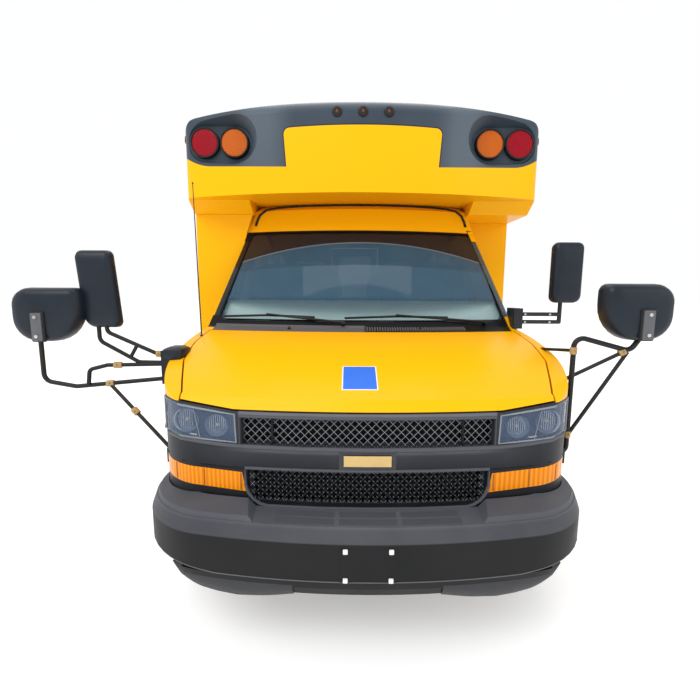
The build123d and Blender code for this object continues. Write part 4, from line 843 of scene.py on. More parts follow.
def grille_trim():
    """Edges of the two grille openings, the backing behind their mesh, and the beads of the cross bar; the top
    bead's pale grey is also a painted highlight along the bar's top edge.
    """
    piece = Piece("grille_edges")
    upper = (
        (-0.534, 0.912), (-0.534, 1.037), (-0.27, 1.038), (0.0, 1.038), (0.27, 1.038), (0.534, 1.037),
        (0.534, 0.912), (0.27, 0.91), (0.0, 0.91), (-0.27, 0.91),
    )
    trace(piece, GRILLE, upper, 0.001, 0.0065, "moulding_edge", closed=True)
    sill = (
        (0.513, 0.815), (0.513, 0.74), (0.503, 0.707), (0.482, 0.679), (0.452, 0.66), (0.42, 0.653),
        (0.2, 0.652), (0.0, 0.652),
    )
    lower = across(sill) + [(0.25, 0.816), (0.0, 0.816), (-0.25, 0.816)]
    trace(piece, GRILLE, lower, 0.001, 0.007, "moulding_edge", closed=True)
    for low, high, half in ((0.9, 1.045, 0.545), (0.645, 0.82, 0.53)):

        def backing(u, v, low=low, high=high, half=half):
            x = (u * 2 - 1) * half
            return Vector((x, at(0.202 + x**2 / 7.7), low + (high - low) * v))

        piece.sheet(20, 2, backing, "grille_backing", 0.003)
    # a rounded bead along the bar's top edge, whose pale grey is also a painted highlight
    bead = (
        (0.985, 0.932), (0.95, 0.93), (0.88, 0.926), (0.8, 0.921), (0.7, 0.915), (0.6, 0.909), (0.5, 0.906),
        (0.25, 0.905), (0.0, 0.905),
    )
    trace(piece, GRILLE, across(bead), -0.001, 0.01, "moulding_edge", 10)
    foot = (
        (0.985, 0.826), (0.9, 0.822), (0.8, 0.817), (0.7, 0.813), (0.6, 0.811), (0.54, 0.812), (0.25, 0.818),
        (0.0, 0.818),
    )
    trace(piece, GRILLE, across(foot), -0.002, 0.005, "dark_moulding")
    for x in (-0.4, 0.4):
        ends = [ahead(GRILLE, x, z, -0.02) for z in (0.914, 1.034)]
        piece.rod(*ends, 0.006, "dark_moulding", 8)
    piece.done()


def bar_pad():
    """A blank raised pad in the middle of the cross bar."""
    piece = Piece("bar_pad")
    for half, low, height, lift, rows, look, thick in (
        (0.118, 0.824, 0.076, 0.0005, 6, "bar_grey", 0.007),
        (0.098, 0.841, 0.042, 0.0065, 4, "pad_gold", 0.004),
    ):

        def face(u, v, half=half, low=low, height=height, lift=lift):
            return ahead(GRILLE, (u * 2 - 1) * half, low + v * height, lift)

        piece.sheet(12, rows, face, look, thick)
    piece.done()


def hood_plaque():
    """A blank blue panel with a white border on the hood."""
    piece = Piece("hood_plaque", "hood")
    for margin, lift, look in ((0.0, 0.0012, "white_trim"), (0.0055, 0.0019, "plaque_blue")):

        def over(u, v, margin=margin, lift=lift):
            x = -0.031 + (u - 0.5) * (0.158 - 2 * margin)
            station = 0.262 + margin + v * (0.196 - 2 * margin)
            point, normal = hit(HOOD, (x, at(station), 3), DOWN)
            return point + normal * lift

        piece.sheet(8, 8, over, look, 0.0012)
    piece.done()


def bumper_fittings():
    """Plate nuts, step pads and the seam of the front bumper."""
    piece = Piece("bumper_fittings")
    nut = 0.0095
    for x in (-0.089, 0.089):
        for z in (0.4395, 0.5605):
            low, high = (x - nut, NOSE - 0.008, z - nut), (x + nut, NOSE + 0.002, z + nut)
            piece.block(low, high, "white_trim", 0.003)
    for low, high in ((-0.375, -0.135), (-0.115, 0.115), (0.135, 0.375)):
        for row in range(2):

            def step_pad(u, v, low=low, high=high, row=row):
                x = low + (high - low) * u
                y = at(0.036 + row * 0.05 + v * 0.04 + x * x / 6.86)
                return hit(BUMPER, (x, y, 2), DOWN)[0] + Vector((0, 0, 0.0005))

            piece.sheet(8, 3, step_pad, "moulding_edge", 0.003)

    def seam_back(u, v):
        x = (u * 2 - 1) * 0.8
        return Vector((x, at(0.04 + x**2 / 5.2), 0.405 + 0.047 * v))

    piece.sheet(24, 2, seam_back, "seam_line", 0.003)
    seam = [(x / 100, 0.4285 + max(abs(x) - 62, 0) / 100 * 0.12) for x in range(-94, 95, 4)]
    trace(piece, BUMPER, seam, 0.0, 0.0022, "seam_edge", 6)
    piece.done()


def bumper_line(x, margin):
    """A point of the bumper's line from above, moved in behind its face by the margin."""
    bow, bow_end, corner, corner_x, corner_y = 3.43, 0.69, 0.388, 0.612, 0.45
    side = 1 if x > 0 else -1
    along = abs(x)
    if along < bow_end:
        turn = asin(along / bow)
        return side * (bow - margin) * sin(turn), at(bow - (bow - margin) * cos(turn))
    turn = asin(min((along - corner_x) / corner, 1))
    reach = corner - margin
    return side * (corner_x + reach * sin(turn)), at(corner_y - reach * cos(turn))


DAM_TOP_Z = 0.431
DAM_FOOT = (
    (0.3, 0.346), (0.42, 0.327), (0.537, 0.317), (0.62, 0.322), (0.687, 0.331), (0.74, 0.343), (0.784, 0.36),
    (0.811, 0.4), (0.822, 0.424),
)


def dam_foot(x):
    """Z of the skirts' lower edge at a distance from the middle."""
    for (start, low), (end, high) in zip(DAM_FOOT, DAM_FOOT[1:]):
        if x <= end:
            return low + (high - low) * (x - start) / (end - start)
    return DAM_FOOT[-1][1]


def air_dams():
    """Rounded skirts under both ends of the front bumper."""
    piece = Piece("air_dams")
    for side in (-1, 1):

        def skirt(u, v, side=side):
            x = DAM_FOOT[0][0] + (DAM_FOOT[-1][0] - DAM_FOOT[0][0]) * u
            bulge = 0.02 - 0.012 * sin(v * pi)
            low = dam_foot(x)
            place = bumper_line(side * x, bulge + 0.018 * (1 - v) ** 2)
            return Vector((*place, low + (DAM_TOP_Z - low) * v))

        piece.sheet(28, 8, skirt, "dam_grey", 0.004)
    piece.done()


def antenna():
    """A stiff whip on the kerb side of the cowl."""
    piece = Piece("whip_antenna")
    foot = Vector((-0.955, at(0.985), 1.262))
    tip = Vector((-1.064, at(1.25), 2.212))
    piece.rod(foot, foot + Vector((0, 0, 0.03)), 0.018, "seal_rubber", tip=0.01, bevel=0.003)
    piece.rod(foot + (tip - foot) * 0.02, tip, 0.0042, "black_metal", 10, tip=0.0026)
    piece.rod(tip, tip + (tip - foot).normalized() * 0.01, 0.005, "black_metal", 10, bevel=0.002)
    piece.done()


# Mirrors


def head_outline(width, height, radii, lean=0):
    """A mirror head's outline as (u, v) points about its middle, its top shifted sideways by lean."""
    points = rounded(about(0, width / 2), about(0, height / 2), radii, 8)
    return [(u + lean * v / height, v) for u, v in points]


def loft(piece, centre, points, rings, look, capped=None):
    """A shell over copies of an outline, each given by a share of its size and a distance along Y.

    The ring with the capped index is closed by a face.
    """
    loops = []
    for index, (share, depth) in enumerate(rings):
        made = bmesh.ops.create_circle(piece.mesh, segments=len(points), radius=1, cap_ends=index == capped)
        for vert, (u, v) in zip(made["verts"], points):
            vert.co = centre + Vector((u * share, depth, v * share))
        loops.append(edges_of(made))
    for first, second in zip(loops, loops[1:]):
        bmesh.ops.bridge_loops(piece.mesh, edges=first + second)
    piece.paint(look)


def mirror_head(piece, centre, points, depth):
    """A domed housing with a rim around a recessed glass."""
    shell = (
        (0.3, -1.0), (0.7, -0.95), (0.86, -0.82), (0.94, -0.55), (0.985, -0.15), (1.0, 0.3), (1.0, 0.85),
        (0.975, 1.0),
    )
    rim = ((0.975, 1.0), (0.945, 1.0), (0.935, 0.8))
    glass = ((0.936, 0.76), (0.936, 0.82))
    layers = ((shell, "mirror_black", 0), (rim, "mirror_black", None), (glass, "chrome", 1))
    for rings, look, capped in layers:
        loft(piece, centre, points, [(share, along * depth) for share, along in rings], look, capped)


def bolt(piece, foot, length, radius=0.009):
    """A hexagon head standing on a foot by a vector."""
    piece.rod(foot, Vector(foot) + Vector(length), radius, "bright_steel", 6, bevel=0.001)


CROSS_MIRRORS = (
    (-1.54, 0.55, 1.432, 0.332, -1.562, (0.04, 0.085, 0.115, 0.165)),
    (1.245, 0.45, 1.463, 0.324, 1.268, (0.085, 0.04, 0.165, 0.115)),
)
TUBE_CLAMPS = (
    ((-1.262, 0.587, 1.1795), (-1.225, 0.596, 1.179)), ((-1.305, 0.589, 1.0835), (-1.27, 0.594, 1.0855)),
    ((-1.158, 0.55, 0.964), (-1.132, 0.542, 0.941)), ((-1.062, 0.621, 1.2335), (-1.035, 0.628, 1.23)),
    ((0.985, 0.48, 1.262), (0.985, 0.48, 1.296)), ((0.985, 0.48, 0.852), (0.985, 0.48, 0.884)),
    ((1.188, 0.46, 1.268), (1.214, 0.456, 1.282)), ((0.94, 0.518, 1.116), (0.962, 0.513, 1.13)),
)


def mirrors():
    """Domed heads on the outer tubes, the brackets that carry them, and the clamps along the tubes."""
    piece = Piece("mirror_housings")
    brackets = Piece("mirror_brackets")
    for x, station, z, width, stem, radii in CROSS_MIRRORS:
        mirror_head(piece, Vector((x, at(station), z)), head_outline(width, 0.262, radii), 0.045)
        face = at(station) - 0.048
        for half, depth, height, look, bevel in (
            (0.034, (-0.006, 0.012), (-0.128, 0.02), "seal_rubber", 0.008),
            (0.026, (-0.014, -0.002), (-0.122, 0.012), "bracket_grey", 0.006),
        ):
            y, height = [face + edge for edge in depth], [z + edge for edge in height]
            brackets.block(*zip(about(stem, half), y, height), look, bevel)
        for height in (-0.008, -0.1):
            bolt(brackets, (stem, face - 0.013, z + height), (0, -0.008, 0))
    kerb = head_outline(0.174, 0.378, (0.026, 0.032, 0.05, 0.034), -0.03)
    mirror_head(piece, Vector((-1.318, at(0.6), 1.556)), kerb, 0.03)
    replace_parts(piece.done(), "mirror_heads")

    for clamp in TUBE_CLAMPS:
        ends = [Vector((x, at(station), z)) for x, station, z in clamp]
        brackets.rod(*ends, 0.0165, "clamp_brass", 16, bevel=0.003)
        middle = (ends[0] + ends[1]) / 2
        screw = [middle + Vector((0, y, 0.004)) for y in (-0.026, 0.02)]
        brackets.rod(*screw, 0.005, "clamp_brass", 8)
    brackets.rod((-1.15, at(0.611), 1.278), (-1.19, at(0.616), 1.214), 0.009, "black_metal", 12)
    brackets.block((-1.036, at(0.594), 1.19), (-0.918, at(0.748), 1.266), "mirror_black", 0.034)
    brackets.block((-1.037, at(0.615), 1.085), (-1.026, at(0.7), 1.205), "bracket_grey", 0.004)
    for z in (1.105, 1.175):
        bolt(brackets, (-1.036, at(0.657), z), (-0.01, 0, 0), 0.01)
    brackets.done()

    door = Piece("door_mirror_glass", "driver_door")
    centre = Vector((1.312, at(1.25), 1.676))
    glass = head_outline(0.15, 0.342, (0.03,) * 4)
    loft(door, centre, glass, [(1.0, 0.026), (1.0, 0.0315), (0.985, 0.0325)], "chrome", 2)
    cover = head_outline(0.184, 0.382, (0.036, 0.03, 0.034, 0.046))
    dome = (
        (0.3, -0.048), (0.62, -0.046), (0.82, -0.041), (0.93, -0.034), (0.985, -0.024), (1.0, -0.01),
        (1.0, 0.01),
    )
    loft(door, centre, cover, dome, "mirror_black", 0)
    for z in (1.36, 1.41):
        for x in (1.06, 1.22):
            bolt(door, (x, at(1.25) - 0.008, z), (0, -0.01, 0), 0.007)
    door.done()


# Sides, roof and back


def side_seal(piece, side, y, z, depth, radius, look, corner=0.055):
    """A bead around an opening of a side wall, at a depth outside the wall's face."""
    ring = [(side * (BODY_HALF + depth), u, v) for u, v in rounded(y, z, (corner,) * 4)]
    piece.pipe(ring, radius, look, closed=True)


def back_seal(piece, x, z, depth, radius, look, corner):
    """A bead around an opening of the rear wall, at a depth outside the wall's face."""
    ring = [(u, BODY_BACK + depth, v) for u, v in rounded(x, z, (corner,) * 4)]
    piece.pipe(ring, radius, look, closed=True)


def node_ranges(name, margin):
    """Ranges of X, Y and Z of a solid's box, drawn in by a margin."""
    return [inset(limits, margin) for limits in zip(*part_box(name))]


def side_windows():
    """Split sashes: outer rubber, black alloy frame, meeting rail and latches."""
    piece = Piece("side_window_frames")
    depth = (-0.021, -0.004)
    for side, stations in ((1, LEFT_WINDOWS), (-1, RIGHT_WINDOWS)):
        for station in stations:
            y = (at(station), at(station + WINDOW_WIDTH))
            side_seal(piece, side, y, WINDOW_Z, 0, 0.011, "seal_rubber")
            sash = inset(y, 0.014), inset(WINDOW_Z, 0.014)
            side_seal(piece, side, *sash, -0.012, 0.009, "window_alloy", 0.045)
            piece.side_block(side, depth, inset(y, 0.01), (1.765, 1.8), "window_alloy", 0.004)
            for latch in (-0.22, 0.22):
                near = sum(y) / 2 + latch
                piece.side_block(side, depth, about(near, 0.02), (1.8, 1.815), "window_alloy", 0.004)
    piece.done()


BOLT_PITCH = 0.26
RIVET_PITCH = 0.078
LIFT_DOOR = (4.93, 6.12)
RUB_RAILS = {
    1: ((0.985, 2.82, 6.39), (1.3, 2.82, 6.39), (0.64, 2.2, 3.93), (0.64, 5.02, 6.39)),
    -1: ((0.985, 2.56, 4.94), (1.3, 2.56, 4.94), (0.985, 6.13, 6.39), (1.3, 6.13, 6.39), (0.64, 2.56, 3.93)),
}


def rub_rails():
    """Black rails along the sides, each with two ridges and a row of bolts."""
    piece = Piece("rub_rails")
    head = ((0.0, 0.005), (0.004, 0.0045), (0.006, 0.0))
    for side, rails in RUB_RAILS.items():
        for z, start, end in rails:
            run = (at(start), at(end))
            piece.side_block(side, (-0.001, 0.013), run, about(z, 0.032), "black_metal", 0.006)
            for ridge in about(z, 0.014):
                height = about(ridge, 0.006)
                piece.side_block(side, (0.01, 0.017), inset(run, 0.02), height, "black_metal", 0.003)
            bolts = int((end - start) / BOLT_PITCH) + 1
            for index in range(bolts):
                y = at(start) + 0.06 + index * (end - start - 0.12) / max(bolts - 1, 1)
                piece.lathe(head, (side * (BODY_HALF + 0.012), y, z), (side, 0, 0), None, 8)
    piece.paint("bare_steel")
    piece.done()


def side_fittings():
    """Round marker lamps, drip rails, panel rivets and the fuel flap."""
    piece = Piece("side_fittings")
    rim = ((0.036, 0.006), (0.04, 0.007), (0.043, 0.004), (0.044, -0.001))
    face = ((0.0, 0.008), (0.02, 0.0075), (0.037, 0.005))
    rivet = ((0.0, 0.0035), (0.005, 0.003), (0.0075, 0.0))
    for side, marker, start in ((1, 2.16, 2.16), (-1, 2.6, 2.54)):
        out = (side, 0, 0)
        lamps = ((marker, 0.8, "marker_amber"), (6.31, 0.8, "marker_red"), (6.31, 2.35, "marker_red"))
        for station, z, colour in lamps:
            centre = (side * BODY_HALF, at(station), z)
            piece.lathe(rim, centre, out, "seal_rubber", 28)
            piece.lathe(face, centre, out, colour, 28)
        drip = [(side * (BODY_HALF + 0.004), at(station), 2.425) for station in (start, 3.5, 5.0, 6.4)]
        piece.pipe(drip, 0.009, "rail_yellow")
        for z in (0.9, 1.385, 2.17):
            station = start + 0.75 if z < 1.38 else start
            while station < 6.38:
                in_lift_door = side < 0 and LIFT_DOOR[0] < station < LIFT_DOOR[1]
                if not in_lift_door:
                    piece.lathe(rivet, (side * BODY_HALF, at(station), z), out, None, 8)
                station += RIVET_PITCH
    piece.paint("rail_yellow")
    piece.side_block(1, (-0.001, 0.006), (at(3.24), at(3.44)), (0.735, 0.905), "rail_yellow", 0.005)
    lock = [(BODY_HALF + depth, at(3.41), 0.82) for depth in (0.004, 0.011)]
    piece.rod(*lock, 0.013, "bright_steel", bevel=0.002)
    for z in (0.76, 0.88):
        hinge = [(BODY_HALF + 0.005, at(3.244), z + end) for end in (-0.018, 0.018)]
        piece.rod(*hinge, 0.006, "rail_yellow", 12)
    piece.done()


def roof_fittings():
    """Raised roof bows, and a low escape hatch with its seal and ribs."""
    tree = tree_of("roof")

    def roof(x, y, lift=0):
        return hit(tree, (x, y, 4), DOWN)[0] + Vector((0, 0, lift))

    piece = Piece("roof_bows")
    for index in range(6):
        y = at(2.3 + index * 0.78)
        piece.pipe([roof(x / 100, y) for x in range(-112, 113, 8)], 0.007, "rail_yellow")
    hatch = Piece("roof_hatch")
    for margin, lift, look in ((0.0, 0.004, "seal_rubber"), (0.02, 0.01, "white_trim")):

        def lid(u, v, margin=margin, lift=lift):
            x = (u * 2 - 1) * (0.31 - margin)
            y = at(3.86) + margin + v * (0.6 - 2 * margin)
            edge = min(u, 1 - u, v, 1 - v) * 6
            return roof(x, y, lift * min(edge, 1) + 0.001)

        hatch.sheet(20, 20, lid, look, 0.003)
    for station in (3.98, 4.16, 4.34):
        rib = [roof(x / 100, at(station), 0.011) for x in range(-24, 25, 6)]
        hatch.pipe(rib, 0.006, "white_trim")
    piece.done()
    hatch.done()


def back_fittings():
    """Lamp bezels, window rubbers and the step's tread on the rear, and the emergency door's furniture."""
    piece = Piece("rear_fittings")
    ring = ((0.076, 0.03), (0.079, 0.037), (0.086, 0.039), (0.092, 0.034), (0.095, 0.0))
    for z in (1.01, 1.2):
        piece.lathe(ring, (0.96, BODY_BACK, z), BACK, "seal_rubber")
    x, z = (0.5345, 1.0945), (1.46, 2.1)
    back_seal(piece, x, z, 0, 0.011, "seal_rubber", 0.055)
    back_seal(piece, inset(x, 0.014), inset(z, 0.014), -0.012, 0.009, "window_alloy", 0.045)
    piece.block((0.05, TAIL - 0.19, 0.637), (1.1, TAIL - 0.02, 0.644), "black_metal", 0.003)
    for x in range(6, 110, 6):
        low, high = (x / 100, TAIL - 0.17, 0.642), (x / 100 + 0.03, TAIL - 0.04, 0.647)
        piece.block(low, high, "black_metal", 0.002)
    piece.both_sides()
    piece.done()

    door = Piece("rear_door_furniture", "rear_door")
    for node, margin, *seal in (
        ("rear_door_glass", 0.004, 0, 0.011, "seal_rubber", 0.05),
        ("rear_door", 0.014, 0.001, 0.007, "rail_yellow", 0.03),
    ):
        x, _, z = node_ranges(node, margin)
        back_seal(door, x, z, *seal)
    door.block((0.27, BODY_BACK - 0.002, 1.205), (0.36, BODY_BACK + 0.01, 1.275), "bright_steel", 0.004)
    handle = ((0.315, 0, 1.24), (0.315, 0.034, 1.24), (0.3, 0.042, 1.24), (0.17, 0.042, 1.225))
    door.pipe([(x, BODY_BACK + depth, z) for x, depth, z in handle], 0.009, "bright_steel", 12)
    head = ((0.0, 0.005), (0.005, 0.0045), (0.008, 0.0))
    for z in (1.02, 1.6, 2.18):
        low, high = (-0.4, BODY_BACK - 0.001, z - 0.022), (-0.22, BODY_BACK + 0.007, z + 0.022)
        door.block(low, high, "bright_steel", 0.003)
        for x in (-0.35, -0.3, -0.25):
            door.lathe(head, (x, BODY_BACK + 0.006, z), BACK, "bare_steel", 10)
    door.done()


def lift_sill():
    """A tread plate at the lift door's edge of the floor, and the riser panel below it."""
    piece = Piece("lift_sill")
    piece.block((-1.1665, at(4.96), 0.688), (-1.152, at(6.12), 0.835), "seal_rubber", 0.003)
    piece.block((-1.168, at(5.01), 0.8605), (-1.06, at(6.07), 0.866), "bright_steel", 0.002)
    for row in range(4):
        x = -1.15 + row * 0.025
        piece.rod((x, at(5.03), 0.866), (x, at(6.05), 0.866), 0.003, "bright_steel", 6)
    piece.done()


def entry_leaf(name, near):
    """Window rubber, edge seal and grab rail of an entry door leaf, whose free edge is its low or high Y."""
    piece = Piece(name + "_trim", name)
    _, y, z = node_ranges(name + "_glass", 0.004)
    side_seal(piece, -1, y, z, 0, 0.01, "seal_rubber", 0.04)
    y, z = inset(node_ranges(name, 0)[1], 0.006)[near], node_ranges(name, 0.02)[2]
    piece.pipe([(-BODY_HALF - 0.001, y, height) for height in (z[0], 1.2, z[1])], 0.006, "seal_rubber")
    rail = node_ranges(name, 0.06)[1][near]
    inner = -BODY_HALF + 0.04
    grab = ((0, 0.95), (0.03, 0.97), (0.03, 1.35), (0, 1.37))
    piece.pipe([(inner + x, rail, height) for x, height in grab], 0.01, "bright_steel", 12)
    piece.done()


def lift_door_trim():
    """Window rubber, edge bead, handle and hinge straps of the lift door."""
    piece = Piece("lift_door_trim", "lift_door")
    _, y, z = node_ranges("lift_door_glass", 0.004)
    side_seal(piece, -1, y, z, 0, 0.01, "seal_rubber", 0.04)
    _, y, z = node_ranges("lift_door", 0.016)
    side_seal(piece, -1, y, z, 0.001, 0.007, "rail_yellow", 0.03)
    low, high = node_ranges("lift_door", 0)[1]
    y = high - 0.11
    piece.side_block(-1, (-0.002, 0.01), about(y, 0.03), (1.16, 1.3), "black_plastic", 0.004)
    grip = ((0, 1.18), (0.032, 1.19), (0.036, 1.23), (0.032, 1.27), (0, 1.28))
    piece.pipe([(-BODY_HALF - depth, y, height) for depth, height in grip], 0.009, "bright_steel", 12)
    for z in (0.86, 1.32, 1.9):
        strap = (low + 0.005, low + 0.2), about(z, 0.03)
        piece.side_block(-1, (-0.001, 0.006), *strap, "rail_yellow", 0.003)
    piece.done()


def driver_door_trim():
    """Handle, lock and rubbing strip of the driver's door."""
    tree = tree_of("driver_door")
    piece = Piece("driver_door_trim", "driver_door")

    def skin(station, z):
        return hit(tree, (3, at(station), z), (-1, 0, 0))[0]

    place = skin(1.9, 1.16)
    half = Vector((0.004, 0.085, 0.028))
    piece.block(place - half, place + half, "black_plastic", 0.006)
    grip = ((0.0, -0.065, 0.006), (0.026, -0.055, 0.008), (0.03, 0.0, 0.008), (0.026, 0.055, 0.008))
    grip += ((0.0, 0.065, 0.006),)
    piece.pipe([place + Vector(point) for point in grip], 0.01, "black_plastic", 12)
    lock = [place + Vector((x, 0.06, -0.05)) for x in (0.0, 0.005)]
    piece.rod(*lock, 0.01, "bright_steel", 16, bevel=0.001)
    strip = [skin(station, 0.9) + Vector((0.001, 0, 0)) for station in (1.42, 1.55, 1.7, 1.85, 2.0)]
    piece.pipe(strip, 0.012, "dark_moulding")
    piece.done()


SIGN_HALF = 0.2285
SIGN_Z = 1.18
SIGN_FACES = (BODY_HALF + 0.008, BODY_HALF + 0.026)


def stop_sign():
    """White borders on both faces of the blank octagon, and a pair of lamps on its outer face."""
    piece = Piece("stop_sign_borders", "stop_arm")
    middle = at(2.286 + SIGN_HALF)
    reach = (SIGN_HALF - 0.016) / cos(radians(22.5))
    turns = [radians(22.5 + 45 * turn) for turn in range(8)]
    for x in SIGN_FACES:
        ring = [(x, middle + reach * cos(turn), SIGN_Z + reach * sin(turn)) for turn in turns]
        piece.pipe(ring, 0.006, "white_trim", closed=True)
    rim = ((0.034, 0.01), (0.039, 0.011), (0.044, 0.006), (0.045, 0.0))
    dome = ((0.0, 0.016), (0.014, 0.0145), (0.028, 0.0115), (0.035, 0.008))
    for z in about(SIGN_Z, 0.145):
        piece.lathe(rim, (SIGN_FACES[1], middle, z), (1, 0, 0), "seal_rubber", 28)
        piece.lathe(dome, (SIGN_FACES[1], middle, z), (1, 0, 0), "marker_red", 28)
    piece.done()


# Wheels

CROWN = TYRE_RADIUS - 0.0005
TREAD_HALF = (
    (0.214, 0.062), (0.222, 0.072), (0.234, 0.09), (0.246, 0.102), (0.262, 0.1085), (0.29, 0.1105),
    (0.3, 0.1108), (0.303, 0.1096), (0.316, 0.109), (0.33, 0.1062), (0.345, 0.1005), (0.3545, 0.0945),
    (0.3615, 0.088), (CROWN - 0.0032, 0.08), (CROWN - 0.0022, 0.0635), (CROWN - 0.0102, 0.0615),
    (CROWN - 0.0102, 0.0565), (CROWN - 0.0018, 0.0545), (CROWN - 0.0005, 0.023), (CROWN - 0.009, 0.0205),
    (CROWN - 0.009, 0.0155), (CROWN - 0.0004, 0.0135),
)
TYRE_LINING = ((0.214, 0.048), (0.232, 0.052), (0.28, 0.086), (0.33, 0.082), (0.344, 0.05))
TREAD_STEPS = 96


def treaded_tyre(name, node, body, side, centres, axle):
    """Tyres with rounded walls, raised rings, four grooves and notched shoulders."""
    piece = Piece(name, body)
    half, lining = list(TREAD_HALF), list(TYRE_LINING)
    section = half + [(radius, -along) for radius, along in half[::-1]]
    section += [(radius, -along) for radius, along in lining] + lining[::-1] + half[:1]
    for centre in centres:
        middle = Vector((side * centre, axle, TYRE_RADIUS))
        before = set(piece.mesh.faces)
        piece.lathe(section, middle, (1, 0, 0), "tyre_rubber", TREAD_STEPS)
        notched = []
        for face in piece.mesh.faces:
            if face in before:
                continue
            place = face.calc_center_median() - middle
            reach = sqrt(place.y * place.y + place.z * place.z)
            turn = int(round((degrees(atan2(place.z, place.y)) % 360) / (360 / TREAD_STEPS) - 0.5))
            wide = abs(place.x)
            shoulder = 0.06 < wide < 0.092 and turn % 2 == 0
            rib = 0.03 < wide < 0.05 and turn % 3 == 0
            if reach > 0.3585 and (shoulder or rib):
                notched.append(face)
        bmesh.ops.inset_individual(piece.mesh, faces=notched, thickness=0.002, depth=-0.005)
    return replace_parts(piece.done(), node)


def wheel_dressing(name, body, side, face_x, axle, cap):
    """Lug nuts, a hub cap and a valve on one wheel."""
    piece = Piece(name, body)
    middle = Vector((side * face_x, axle, TYRE_RADIUS))
    out = Vector((side, 0, 0))

    def around(angle, radius):
        return middle + Vector((0, cos(angle), sin(angle))) * radius

    piece.lathe(cap, middle, out, "bright_steel")
    for turn in range(8):
        foot = around(turn * pi / 4 + pi / 8, 0.0825)
        piece.rod(foot, foot + out * 0.022, 0.0125, "chrome", 6, bevel=0.0015)
        piece.rod(foot + out * 0.02, foot + out * 0.03, 0.008, "chrome", 12, tip=0.006, bevel=0.001)
    foot = around(radians(75), 0.165) + out * 0.02
    piece.rod(foot, foot + out * 0.03, 0.004, "seal_rubber", 8)
    piece.done()


def wheels():
    """Treads and nuts of all wheels."""
    front_cap = ((0.0, 0.072), (0.03, 0.071), (0.048, 0.064), (0.056, 0.048), (0.058, 0.0))
    rear_cap = ((0.0, 0.088), (0.035, 0.087), (0.052, 0.08), (0.06, 0.066), (0.062, 0.0))
    for side, word in ((1, "left"), (-1, "right")):
        front, rear = f"wheel_front_{word}", f"wheels_rear_{word}"
        treaded_tyre(f"front_tread_{word}", f"front_tyre_{word}", front, side, (0.873,), FRONT_AXLE)
        treaded_tyre(f"rear_tread_{word}", f"rear_tyres_{word}", rear, side, (1.06, 0.796), REAR_AXLE)
        face = abs(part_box(f"front_rim_{word}")[1 if side > 0 else 0][0]) - 0.07
        wheel_dressing(f"front_wheel_nuts_{word}", front, side, face, FRONT_AXLE, front_cap)
        wheel_dressing(f"rear_wheel_nuts_{word}", rear, side, 0.945, REAR_AXLE, rear_cap)


# Inside


def pad(piece, low, high, crown, seams=()):
    """A stuffed pad: a crowned box whose sides pull in between its corners, with sewn channels across X."""
    low, high = Vector(low), Vector(high)
    middle, half = (low + high) / 2, (high - low) / 2
    inner = half - Vector((crown, crown, crown)) * 0.6
    made = bmesh.ops.create_cube(piece.mesh, size=2)
    bmesh.ops.subdivide_edges(piece.mesh, edges=edges_of(made), cuts=13, use_grid_fill=True)
    piece.mesh.verts.index_update()
    fresh = [face for face in piece.mesh.faces if not face[piece.painted]]
    verts = list({vert.index: vert for face in fresh for vert in face.verts}.values())
    for vert in verts:
        unit = vert.co.copy()
        square = [part**2 for part in unit]
        place = Vector()
        for i, j, k in ((0, 1, 2), (1, 2, 0), (2, 0, 1)):
            pull = 1 - square[j] * 0.22 - square[k] * 0.22 + square[j] * square[k] * 0.1
            swell = (1 - square[j]) * (1 - square[k]) * crown
            place[i] = unit[i] * sqrt(max(pull, 0.05)) * inner[i] + unit[i] * abs(unit[i]) ** 3 * swell
        channel = sum(max(0.0, 1 - abs(place.x - seam * half.x) / 0.016) for seam in seams)
        for i in (1, 2):
            place[i] -= unit[i] * abs(unit[i]) ** 3 * channel * 0.01
        vert.co = middle + place
    every_way = dict.fromkeys(("use_axis_x", "use_axis_y", "use_axis_z"), True)
    bmesh.ops.smooth_vert(piece.mesh, verts=verts, factor=0.4, **every_way)
    piece.paint("seat_vinyl")


BENCHES = ((1, 2.5), (1, 3.2), (1, 3.9), (1, 4.6), (1, 5.3), (-1, 2.75), (-1, 3.45), (-1, 4.15))
BENCH_X = (BODY_HALF - 1.02, BODY_HALF - 0.06)


